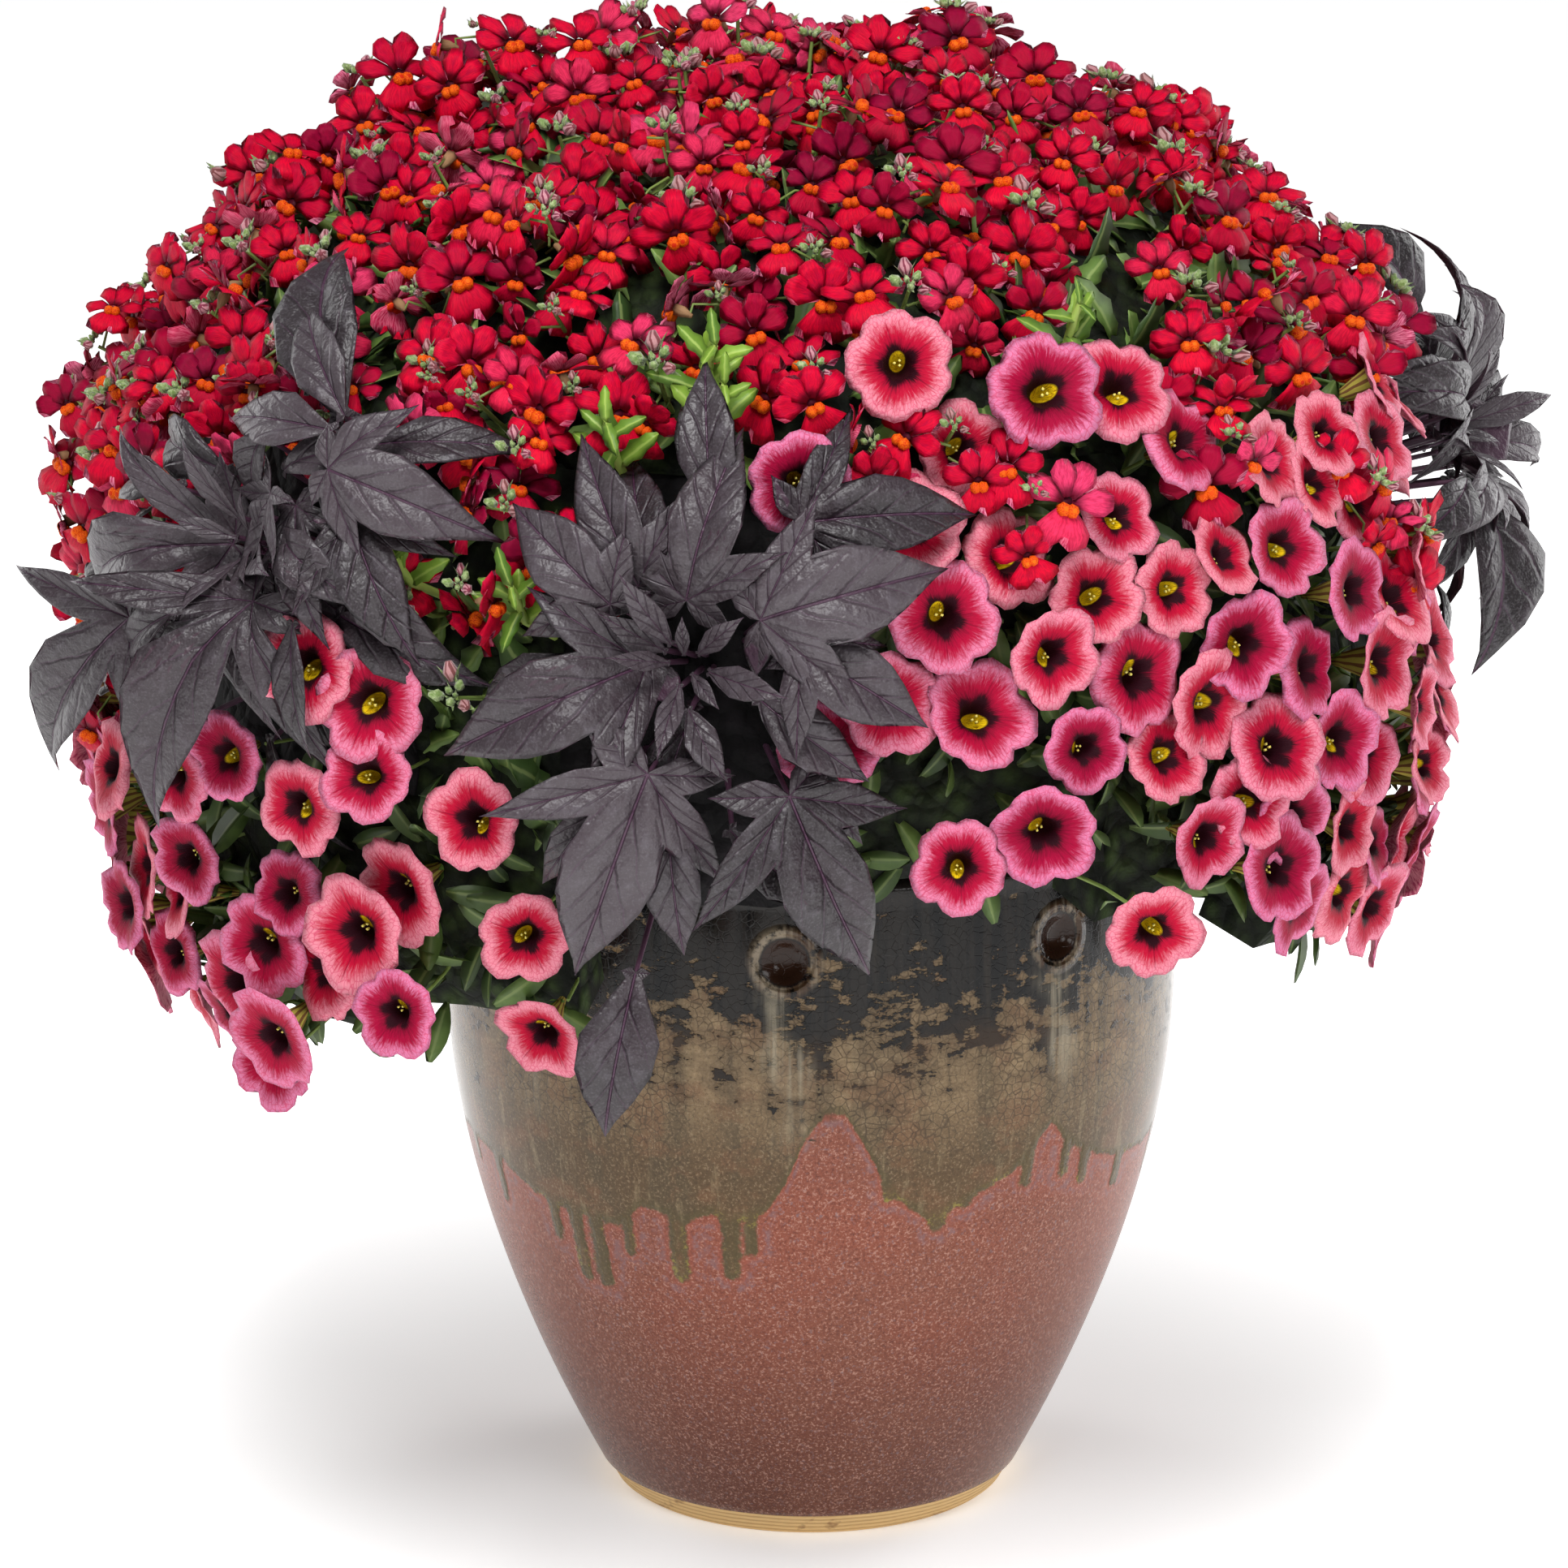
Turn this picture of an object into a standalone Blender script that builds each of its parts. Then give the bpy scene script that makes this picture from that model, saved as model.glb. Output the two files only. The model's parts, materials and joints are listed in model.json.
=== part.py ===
"""A mixed planting in a glazed egg-shaped pot: red nemesia, dark sweet potato vine and pink calibrachoa.

Metres, +Z up. The origin is the centre of the pot's flat base, and the planting faces -Y.
Places on the mound are an azimuth, from the front towards +X, and a polar angle from straight up,
in degrees.
A cell is a stretch of the mound: azimuth from and to, polar angle from and to.
"""

import math
import random

import bmesh
import bpy
from mathutils import Vector
from mathutils.geometry import delaunay_2d_cdt

# Pot
POT_HEIGHT = 0.275
BELLY_RADIUS = 0.1395
BELLY_HEIGHT = 0.200
BASE_RADIUS = 0.077
BELLY_POWER = 1.75
RIM_PULL_IN = 0.0035
WALL = 0.008
FLOOR = 0.012
LIP_BULGE = 0.0025
LIP_HEIGHT = 0.004
POT_SIDES = 32
DRAIN_HOLES = 3
DRAIN_RADIUS = 0.006
DRAIN_CIRCLE = 0.042
DIMPLES = 8
DIMPLE_FIRST_AZIMUTH = -4.0
DIMPLE_HEIGHT = 0.245
DIMPLE_RADIUS = 0.009
DIMPLE_DEPTH = 0.003

# Soil, with a hole for each stem
SOIL_TOP = 0.250
SOIL_GAP = 0.0004
SOIL_SIDE_GAP = 0.0012
HOLE_BOTTOM = 0.222
STEM_BOTTOM = 0.2224
STEM_GAP = 0.0004
STEM_TURN_HEIGHT = 0.280
VINE_STEM_RADIUS = 0.0035
STEM_RADIUS = 0.0026

# Mound: distances from its centre at the sides. Towards the top it is lower, with square shoulders
MOUND = Vector((-0.018, 0.0, 0.328))
MOUND_TOP_SHARE = 0.87
MOUND_SHOULDER_POWER = 2.5
FOLIAGE_INNER = 0.205
FOLIAGE_OUTER = 0.2335
PATCH_STEP = 0.0003
FACET_AZIMUTH = 21.0
FACET_POLAR = 12.0
ROOTED = 0.012
HEAD_BOTTOM = 0.2388
SEAT_GAP = 0.0006
HEAD_TOP = 0.2440
BLOOM_DISTANCE = 0.258
BLOOM_DISTANCE_SWAY = 0.0035
GOLDEN_ANGLE = math.radians(137.508)
SCRAP_POINTS = 8
CORNER_CUT = 2.6
EDGE_STEP = 13.0
AZIMUTH_STEP = 18.0
BOTTOM_STEP = 12.0
SEAT_MARGIN = 2.0
STALK_RADIUS = 0.0012
ROOT_MARGIN = 1.5

# Flowers
NEMESIA = {"radius": 0.0175, "spacing": 0.0364, "cup": 0.18, "rise": 0.30, "sway": 0.24}
CALIBRACHOA = {"radius": 0.0218, "spacing": 0.0460, "cup": 0.40, "rise": 0.16, "sway": 0.20}
ROOT_RADIUS = 0.0022
LOBES = 5
LOBE_NOTCH = 0.76
LOWER_LIP = 1.12
LEAN_LIMIT = math.radians(28)
SPRAY_SHARE = 0.16
SPRAY_REACH = 0.012
SPRAY_POLAR = 56

# Green leaves
GREEN_LEAF_THICKNESS = 0.0014
TUFT_TIP = 0.262
TUFT_LEAN = 0.022
TUFT_WIDTH = 0.0075
TUFT_CLEAR = 0.0075
HEM_LEAF_STEP = 11.0
HEM_SIDE_ROOM = 4.0
HEM_HANG = 7.0
HEM_WIDTH = 0.010

# Vine leaves
LEAF_THICKNESS = 0.0014
LEAF_LAYER_STEP = 0.0036
LEAF_LOW = 0.2500
LEAF_HIGH = 0.2755
LEAF_RISE = 0.040
LEAF_TIP_DROOP = 0.003
PETIOLE_RADIUS = 0.0015

NEMESIA_CELLS = (
    [(0, 360, 0, 17.5)]
    + [(36.3 + 72 * k, 107.7 + 72 * k, 18.1, 38.5) for k in range(5)]
    + [(5.3 + 40 * k, 44.7 + 40 * k, 39.1, 61.3) for k in range(9)]
    + [(-128, -102.3, 62.3, 90.8), (-101.7, -76.6, 62.3, 90.8)]
    + [(-30.8, -17.4, 62.3, 91)]
)
CALIBRACHOA_CELLS = [
    (6.6, 30.7, 62.3, 81.7),
    (31.3, 57.7, 62.3, 81.7),
    (58.3, 83.2, 62.3, 81.7),
    (4.2, 30.7, 82.3, 97),
    (31.3, 57.7, 82.3, 103),
    (58.3, 83.2, 82.3, 110),
    (83.8, 107.8, 91, 112),
    (108.4, 142.1, 62.3, 86.7),
    (142.7, 176.4, 62.3, 86.7),
    (108.4, 142.1, 87.3, 113),
    (142.7, 176.4, 87.3, 113),
    (201.2, 231.6, 62.3, 90.8),
    (201.2, 231.6, 91.4, 114),
    (232.2, 262.2, 91.4, 115),
    (-97.2, -70.3, 91.4, 118),
    (-69.7, -44, 91.4, 118),
    (-43.4, -17.4, 91.6, 112),
]

# Foliage of each plant: its cells, and its stems (azimuth, polar angle, radius where it meets the soil)
NEMESIA_FOLIAGE = {
    "nemesia_foliage_1": ([(0.3, 89.7, 4, 61.3)], [(40, 45, 0.045)]),
    "nemesia_foliage_2": ([(90.3, 179.7, 4, 61.3)], [(130, 45, 0.045)]),
    "nemesia_foliage_3": ([(180.3, 269.7, 4, 61.3)], [(220, 45, 0.045)]),
    "nemesia_foliage_4": ([(270.3, 359.7, 4, 61.3)], [(310, 45, 0.045)]),
    "nemesia_foliage_left": ([(-128, -76.6, 62.3, 90.6)], [(-100, 80, 0.085)]),
    "nemesia_foliage_front": ([(-30.8, -17.4, 62.3, 90.6)], [(-24, 80, 0.085)]),
}
CALIBRACHOA_FOLIAGE = {
    "calibrachoa_foliage_right": (
        [(4.2, 31.3, 62.3, 97), (30.5, 83.2, 62.3, 103), (58, 107.8, 91, 112)],
        [(30, 92, 0.098), (72, 94, 0.098)],
    ),
    "calibrachoa_foliage_back_right": ([(108.4, 176.4, 62.3, 113)], [(142, 94, 0.098)]),
    "calibrachoa_foliage_back_left": (
        [(201.2, 231.6, 62.3, 92.4), (201.2, 262.2, 91.4, 115)],
        [(220, 94, 0.098)],
    ),
    "calibrachoa_foliage_left": ([(-97.2, -17.4, 91.4, 112), (-97.2, -44, 105, 118)], [(-62, 96, 0.105)]),
}
VINES = {
    "vine_front": ([(-16.8, 3.6, 62.3, 99)], [(-6, 80, 0.080)]),
    "vine_left": ([(-76, -31.4, 62.3, 90.6)], [(-54, 80, 0.072)]),
    "vine_right": ([(83.8, 107.8, 62.3, 90.4)], [(96, 80, 0.080)]),
    "vine_back": ([(177, 200.6, 62.3, 108)], [(189, 80, 0.080)]),
}

# Each vine's leaves as seen from outside, from its growing tip (azimuth, polar angle):
# (right mm, up mm of the leaf's base, bearing from up, length mm, width share, layer, lobed)
VINE_TIPS = {
    "vine_front": (-5.5, 77.5),
    "vine_left": (-43.0, 72.0),
    "vine_right": (95.5, 75.0),
    "vine_back": (189.0, 84.0),
}
FRONT_LEAVES = (
    (-4, -50, 176, 50, 0.85, 0, False),
    (-15, -102, 190, 66, 0.85, 0, False),
    (24, -10, 128, 46, 0.9, 1, False),
    (8, 46, -4, 52, 0.8, 0, False),
    (-14, 24, -24, 52, 0.9, 1, True),
    (-24, -42, 216, 44, 0.7, 0, False),
    (36, 44, 84, 60, 0.95, 1, True),
    (1, 20, 16, 58, 0.9, 3, True),
    (-22, 18, -48, 46, 1.15, 2, True),
    (34, -40, 158, 78, 0.85, 1, True),
    (36, 6, 122, 48, 1.1, 2, True),
    (-12, 0, 244, 72, 0.9, 3, True),
    (-9, -33, 200, 78, 0.85, 3, True),
    (24, 14, 74, 62, 1.05, 4, True),
    (2, -14, 150, 26, 0.9, 4, False),
    (-6, 4, 300, 22, 0.9, 4, False),
)
LEFT_LEAVES = (
    (34, 44, 327, 82, 0.8, 0, False),
    (48, 38, 76, 48, 0.85, 0, False),
    (48, -2, 128, 48, 0.85, 0, False),
    (-25, -28, 238, 40, 0.8, 0, False),
    (20, 50, 323, 42, 0.75, 1, False),
    (-11, 20, 281, 52, 0.85, 1, False),
    (-49, -33, 224, 92, 0.85, 0, True),
    (50, 14, 151, 50, 0.9, 1, True),
    (-26, 12, 268, 48, 0.75, 2, False),
    (-12, -2, 250, 84, 0.8, 2, True),
    (39, 44, 318, 50, 0.8, 2, False),
    (39, 38, 273, 53, 0.8, 3, False),
    (14, 33, 221, 30, 0.9, 3, False),
    (15, -18, 215, 96, 0.9, 3, True),
    (18, 16, 213, 42, 0.9, 4, True),
    (44, 26, 102, 54, 1.05, 4, True),
)

# Vines out of the photo's sight: leaf count, and sizes in mm
RIGHT_LEAF_COUNT = 12
BACK_LEAF_COUNT = 12
ROSETTE_INNER = 6
ROSETTE_OUTER = 32
ROSETTE_LAYERS = 4
YOUNG_LEAF = 40
OLD_LEAF = 76

# Right half of a leaf's outline from its base to its tip, and its midrib, as shares of its length
LOBED_OUTLINE = ((-0.13, 0.26), (0.08, 0.50), (0.42, 0.60), (0.36, 0.20), (0.60, 0.23))
PLAIN_OUTLINE = ((-0.04, 0.13), (0.22, 0.24), (0.62, 0.19))
MIDRIB = (0.18, 0.56)
LOBED_SPLIT = 4
PLAIN_SPLIT = 2
BLADE_ARCH = 0.06

MATERIALS = {
    "glaze": ((0.30, 0.16, 0.13), 0.25),
    "soil": ((0.05, 0.035, 0.025), 0.95),
    "nemesia_petal": ((0.75, 0.01, 0.03), 0.55),
    "calibrachoa_petal": ((0.80, 0.16, 0.25), 0.55),
    "green_leaf": ((0.10, 0.20, 0.05), 0.6),
    "vine_leaf": ((0.035, 0.028, 0.035), 0.45),
}


def clear_scene():
    for obj in list(bpy.data.objects):
        bpy.data.objects.remove(obj)


def finish_of(name, finish):
    """The object's own material, in the colour of its finish."""
    colour, roughness = MATERIALS[finish]
    made = bpy.data.materials.new(name)
    made.use_nodes = True
    shader = made.node_tree.nodes["Principled BSDF"]
    shader.inputs["Base Color"].default_value = (*colour, 1.0)
    shader.inputs["Roughness"].default_value = roughness
    return made


def object_of(name, points, faces):
    """A mesh object from points and faces, its faces turned outwards."""
    mesh = bpy.data.meshes.new(name)
    mesh.from_pydata([tuple(p) for p in points], [], faces)
    bm = bmesh.new()
    bm.from_mesh(mesh)
    bmesh.ops.recalc_face_normals(bm, faces=bm.faces)
    bm.to_mesh(mesh)
    bm.free()
    obj = bpy.data.objects.new(name, mesh)
    bpy.context.scene.collection.objects.link(obj)
    return obj


def drop_scraps(mesh):
    """Removes loose edges, and bodies of only a few triangles, that a join leaves behind."""
    bm = bmesh.new()
    bm.from_mesh(mesh)
    left = set(bm.verts)
    scraps = []
    while left:
        body = {left.pop()}
        edge_of_body = list(body)
        while edge_of_body:
            near = {e.other_vert(v) for v in edge_of_body for e in v.link_edges} - body
            body |= near
            edge_of_body = list(near)
        left -= body
        if len(body) < SCRAP_POINTS:
            scraps += body
    bmesh.ops.delete(bm, geom=scraps, context="VERTS")
    bmesh.ops.delete(bm, geom=[e for e in bm.edges if not e.link_faces], context="EDGES")
    bm.to_mesh(mesh)
    bm.free()


def object_of_bmesh(name, bm):
    bm.verts.index_update()
    points = [v.co.copy() for v in bm.verts]
    faces = [[v.index for v in f.verts] for f in bm.faces]
    bm.free()
    return object_of(name, points, faces)


def combine(base, pieces, operation):
    """The base joined to, or cut by, all the pieces at once. The pieces are then removed."""
    group = bpy.data.collections.new(base.name + "_pieces")
    bpy.context.scene.collection.children.link(group)
    for piece in pieces:
        group.objects.link(piece)
        bpy.context.scene.collection.objects.unlink(piece)
    boolean = base.modifiers.new("Combine", "BOOLEAN")
    boolean.operation = operation
    boolean.operand_type = "COLLECTION"
    boolean.collection = group
    graph = bpy.context.evaluated_depsgraph_get()
    joined = bpy.data.meshes.new_from_object(base.evaluated_get(graph))
    base.modifiers.clear()
    joined.materials.clear()
    drop_scraps(joined)
    base.data = joined
    for piece in pieces:
        bpy.data.objects.remove(piece)
    bpy.data.collections.remove(group)
    return base


def direction(azimuth, polar):
    """Unit vector from the mound's centre."""
    a, p = math.radians(azimuth), math.radians(polar)
    return Vector((math.sin(p) * math.sin(a), -math.sin(p) * math.cos(a), math.cos(p)))


def angles_of(outward):
    """Azimuth from 0 to 360, and polar angle, of a direction."""
    polar = math.degrees(math.acos(max(-1.0, min(1.0, outward.z))))
    return math.degrees(math.atan2(outward.x, -outward.y)) % 360, polar


def place(outward, distance):
    """The point of the mound in a direction, at a distance given for the mound's sides."""
    if outward.z <= 0:
        return MOUND + outward * distance
    power = MOUND_SHOULDER_POWER
    level = math.hypot(outward.x, outward.y)
    reach = (level**power + (outward.z / MOUND_TOP_SHARE) ** power) ** (-1 / power)
    return MOUND + outward * distance * reach


def tangents(outward):
    """Up and right along the mound's surface, as seen from outside. At the very top, up is to the back."""
    if outward.z > 0.9999:
        return Vector((0, 1, 0)), Vector((1, 0, 0))
    up = (Vector((0, 0, 1)) - outward * outward.z).normalized()
    return up, up.cross(outward)


def stepped(outward, bearing, angle):
    """The direction reached by a turn of angle along a bearing, clockwise from up, in radians."""
    up, right = tangents(outward)
    along = up * math.cos(bearing) + right * math.sin(bearing)
    return outward * math.cos(angle) + along * math.sin(angle)


def pot_radius(z):
    """Outer radius of the pot at height z."""
    if z < BELLY_HEIGHT:
        share = (BELLY_HEIGHT - z) / BELLY_HEIGHT
        return BELLY_RADIUS - (BELLY_RADIUS - BASE_RADIUS) * share**BELLY_POWER
    share = (z - BELLY_HEIGHT) / (POT_HEIGHT - BELLY_HEIGHT)
    return BELLY_RADIUS - RIM_PULL_IN * share**2


def turned(name, profile, sides):
    """A solid turned about Z from (radius, height) points, whose first and last lie on the axis."""
    bm = bmesh.new()
    chain = [bm.verts.new((r, 0, z)) for r, z in profile]
    edges = [bm.edges.new(pair) for pair in zip(chain, chain[1:])]
    bmesh.ops.spin(
        bm,
        geom=chain + edges,
        axis=(0, 0, 1),
        cent=(0, 0, 0),
        steps=sides,
        angle=math.tau,
    )
    bmesh.ops.remove_doubles(bm, verts=bm.verts, dist=1e-6)
    return object_of_bmesh(name, bm)


def tube(name, path, radius, sides):
    """A closed tube along a path."""
    points, faces = [], []
    last = len(path) - 1
    side = (path[1] - path[0]).orthogonal()
    for i, centre in enumerate(path):
        ahead = (path[min(i + 1, last)] - path[max(i - 1, 0)]).normalized()
        side = (side - ahead * side.dot(ahead)).normalized()
        other = ahead.cross(side)
        for k in range(sides):
            turn = math.tau * k / sides
            points.append(centre + side * radius * math.cos(turn) + other * radius * math.sin(turn))
    for i in range(last):
        for k in range(sides):
            a, b = i * sides + k, i * sides + (k + 1) % sides
            faces.append((a, b, b + sides, a + sides))
    faces.append(tuple(range(sides)))
    faces.append(tuple(range(last * sides, (last + 1) * sides)))
    return object_of(name, points, faces)


def ball(name, centre, radius):
    bm = bmesh.new()
    bmesh.ops.create_icosphere(bm, subdivisions=2, radius=radius)
    bmesh.ops.translate(bm, verts=bm.verts, vec=centre)
    return object_of_bmesh(name, bm)


def make_pot():
    """The glazed pot, with drain holes in its floor and a ring of thumb dimples under its rim."""
    steps = 7
    top = POT_HEIGHT - 2 * LIP_HEIGHT
    heights = [top * k / steps for k in range(steps + 1)]
    outside = [(pot_radius(z), z) for z in heights]
    lip = pot_radius(POT_HEIGHT)
    rim = [
        (lip + LIP_BULGE, POT_HEIGHT - LIP_HEIGHT),
        (lip + LIP_BULGE / 2, POT_HEIGHT),
        (lip - WALL + 0.001, POT_HEIGHT),
    ]
    inner_steps = 3
    drop = (SOIL_TOP - FLOOR) / inner_steps
    inside = [(pot_radius(SOIL_TOP - drop * k) - WALL, SOIL_TOP - drop * k) for k in range(inner_steps + 1)]
    pot = turned("pot", [(0, 0), *outside, *rim, *inside, (0, FLOOR)], POT_SIDES)
    cutters = []
    for k in range(DRAIN_HOLES):
        turn = math.tau * k / DRAIN_HOLES
        foot = Vector((DRAIN_CIRCLE * math.sin(turn), DRAIN_CIRCLE * math.cos(turn), -0.01))
        cutters.append(tube("drain", [foot, foot + Vector((0, 0, 0.04))], DRAIN_RADIUS, 8))
    ball_radius = (DIMPLE_RADIUS**2 + DIMPLE_DEPTH**2) / (2 * DIMPLE_DEPTH)
    for k in range(DIMPLES):
        azimuth = math.radians(DIMPLE_FIRST_AZIMUTH + 360 * k / DIMPLES)
        away = pot_radius(DIMPLE_HEIGHT) - DIMPLE_DEPTH + ball_radius
        centre = Vector((away * math.sin(azimuth), -away * math.cos(azimuth), DIMPLE_HEIGHT))
        cutters.append(ball("dimple", centre, ball_radius))
    combine(pot, cutters, "DIFFERENCE")
    pot.data.materials.append(finish_of("pot", "glaze"))


def stem_radius(name):
    return VINE_STEM_RADIUS if name.startswith("vine") else STEM_RADIUS


def stem_routes():
    """Every stem's route from inside its foliage, over the rim and down into the soil, by node name."""
    routes = {}
    for name, (_, stems) in {**NEMESIA_FOLIAGE, **CALIBRACHOA_FOLIAGE, **VINES}.items():
        routes[name] = []
        for azimuth, polar, soil_radius in stems:
            start = place(direction(azimuth, polar), (FOLIAGE_INNER + FOLIAGE_OUTER) / 2)
            entry = direction(azimuth, 90) * soil_radius
            turn = Vector((entry.x, entry.y, STEM_TURN_HEIGHT))
            routes[name].append([start, turn, Vector((entry.x, entry.y, STEM_BOTTOM))])
    return routes


def make_soil(routes):
    steps = 3
    bottom = FLOOR + SOIL_GAP
    top = SOIL_TOP - 0.002
    heights = [bottom + (top - bottom) * k / steps for k in range(steps + 1)]
    side = [(pot_radius(z) - WALL - SOIL_SIDE_GAP, z) for z in heights]
    soil = turned("soil", [(0, bottom), *side, (0, SOIL_TOP)], POT_SIDES)
    holes = []
    hole_sides = 6
    for name, paths in routes.items():
        for path in paths:
            foot = Vector((path[-1].x, path[-1].y, HOLE_BOTTOM))
            size = (stem_radius(name) + STEM_GAP) / math.cos(math.pi / hole_sides)
            holes.append(tube("hole", [foot, foot + Vector((0, 0, 0.05))], size, hole_sides))
    combine(soil, holes, "DIFFERENCE")
    soil.data.materials.append(finish_of("soil", "soil"))


def patch_grid(cell):
    """The steps across and down a foliage's cell, and the directions of its grid."""
    azimuth_0, azimuth_1, polar_0, polar_1 = cell
    across = max(1, round((azimuth_1 - azimuth_0) / FACET_AZIMUTH))
    down = max(2, round((polar_1 - polar_0) / FACET_POLAR))
    grid = []
    for i in range(across + 1):
        azimuth = azimuth_0 + (azimuth_1 - azimuth_0) * i / across
        grid += [direction(azimuth, polar_0 + (polar_1 - polar_0) * j / down) for j in range(down + 1)]
    return across, down, grid


def patch(name, cell, inner, outer):
    """A curved slab that fills a cell of the mound between two distances."""
    across, down, grid = patch_grid(cell)
    points = [place(outward, distance) for distance in (outer, inner) for outward in grid]
    faces = []
    layer = len(grid)

    def at(i, j, side):
        return side * layer + i * (down + 1) + j

    for side in (0, 1):
        for i in range(across):
            for j in range(down):
                faces.append((at(i, j, side), at(i + 1, j, side), at(i + 1, j + 1, side)))
                faces.append((at(i, j, side), at(i + 1, j + 1, side), at(i, j + 1, side)))
    border = [(i, 0) for i in range(across)] + [(across, j) for j in range(down)]
    border += [(i, down) for i in range(across, 0, -1)] + [(0, j) for j in range(down, 0, -1)]
    for (i, j), (k, m) in zip(border, border[1:] + border[:1]):
        faces.append((at(i, j, 0), at(k, m, 0), at(k, m, 1), at(i, j, 1)))
    return object_of(name, points, faces)


def make_foliage(name, cells, paths, finish, leaves):
    """One plant's leafy mass on its stems, with its leaves standing out of it."""
    base = patch(name, cells[0], FOLIAGE_INNER, FOLIAGE_OUTER)
    inner, outer = FOLIAGE_INNER + PATCH_STEP, FOLIAGE_OUTER - PATCH_STEP
    pieces = [patch("patch", cell, inner, outer) for cell in cells[1:]]
    pieces += [tube("stem", path, stem_radius(name), 5) for path in paths]
    combine(base, pieces + leaves, "UNION")
    base.data.materials.append(finish_of(name, finish))


def blade(outline, midrib, split, lift):
    """A thin leaf: an outline, and a midrib of points where it is lift thicker to each side.

    The first midrib point fans out to the outline's first edges on each side, split of them, and the last
    one to the rest.
    """
    count, tip = len(outline), len(outline) // 2
    points = [*outline, *(p + lift for p in midrib), *(p - lift for p in midrib)]
    faces = []
    for side in (0, 1):
        first = count + side * len(midrib)
        last = first + len(midrib) - 1
        for half in (list(range(tip + 1)), [0, *range(count - 1, tip - 1, -1)]):
            for k, (a, b) in enumerate(zip(half, half[1:])):
                if k == split:
                    faces.append((a, first, last))
                faces.append((a, b, first if k < split else last))
    return object_of("leaf", points, faces)


def green_leaf(base, tip, face, width):
    """A lance-shaped green leaf from base to tip, its upper side towards face."""
    along = tip - base
    side = along.cross(face).normalized() * width / 2
    outline = [base]
    outline += [base + along * u + side * v for u, v in ((0.42, 0.9), (0.68, 1.0))]
    outline += [tip]
    outline += [base + along * u - side * v for u, v in ((0.68, 1.0), (0.42, 0.9))]
    lift = side.cross(along).normalized() * GREEN_LEAF_THICKNESS / 2
    return blade(outline, [base + along * 0.55], len(outline), lift)


def tuft_places():
    """Directions of the leaves that stand where the corners of the heads' cells leave room."""
    places = [(36 + 72 * k, 19.0) for k in range(5)]
    places += [(5 + 40 * k, 40.0) for k in range(9)]
    places += [(31, 62.8), (58, 62.8), (142.4, 62.8), (-102, 62.8)]
    places += [(31, 82), (58, 83.2), (142.4, 87), (-44, 92.4), (-70, 92.4), (231.9, 92.3)]
    return [direction(*angles) for angles in places]


def in_cell(outward, cell, margin=0.0):
    azimuth, polar = angles_of(outward)
    azimuth_0, azimuth_1, polar_0, polar_1 = cell
    turned_by = (azimuth - azimuth_0) % 360
    across = margin <= turned_by <= azimuth_1 - azimuth_0 - margin
    return across and polar_0 + margin <= polar <= polar_1 - margin


def tuft_leaf(outward):
    """A small leaf that stands out between the heads."""
    base = place(outward, FOLIAGE_OUTER - ROOTED)
    bearing = math.radians(angles_of(outward)[0])
    tip = place(stepped(outward, bearing, TUFT_LEAN), TUFT_TIP)
    return green_leaf(base, tip, stepped(outward, bearing, math.pi / 2), TUFT_WIDTH)


def hem_leaves(cells):
    """Leaves that hang from the lower edge of a foliage, under the last flowers."""
    leaves = []
    for azimuth_0, azimuth_1, _, hem in cells:
        room = azimuth_1 - azimuth_0 - 2 * HEM_SIDE_ROOM
        count = max(1, round(room / HEM_LEAF_STEP))
        for k in range(count):
            azimuth = azimuth_0 + HEM_SIDE_ROOM + room * (k + 0.5) / count
            lowest = max(cell[3] for cell in cells if cell[0] <= azimuth <= cell[1])
            if hem < lowest:
                continue
            lean = 2.2 * math.sin(2.3 * k)
            hang = HEM_HANG + 1.5 * (k % 2)
            base = place(direction(azimuth, hem - 2.5), FOLIAGE_OUTER - ROOTED)
            tip = place(direction(azimuth + lean, hem + hang), FOLIAGE_OUTER + 0.003 * (k % 3))
            leaves.append(green_leaf(base, tip, direction(azimuth, hem), HEM_WIDTH))
    return leaves


def funnel(points, rim, roots):
    """Triangles from a bloom's rim down to the points of its root, paired by their turn about its axis."""
    rim_middle = sum((points[number] for number in rim), Vector()) / len(rim)
    root_middle = sum((points[number] for number in roots), Vector()) / len(roots)
    side, other = tangents((rim_middle - root_middle).normalized())

    def turn(number, middle):
        offset = points[number] - middle
        return math.atan2(offset.dot(other), offset.dot(side))

    def turned_apart(root, rim_turn):
        apart = rim_turn - turn(root, root_middle)
        return abs((apart + math.pi) % math.tau - math.pi)

    owners = []
    for number in rim:
        rim_turn = turn(number, rim_middle)
        owners.append(min(roots, key=lambda root: turned_apart(root, rim_turn)))
    faces = []
    for k, number in enumerate(rim):
        after = (k + 1) % len(rim)
        faces.append((number, rim[after], owners[k]))
        if owners[after] != owners[k]:
            faces.append((rim[after], owners[after], owners[k]))
    return faces


def lattice(spacing):
    """Directions spread evenly over a ball by the golden angle, about spacing apart at the blooms."""
    count = round(4 * math.pi * (BLOOM_DISTANCE / spacing) ** 2)
    found = []
    for k in range(count):
        z = 1 - (2 * k + 1) / count
        level = math.sqrt(1 - z * z)
        found.append(Vector((level * math.cos(k * GOLDEN_ANGLE), level * math.sin(k * GOLDEN_ANGLE), z)))
    return found


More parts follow.
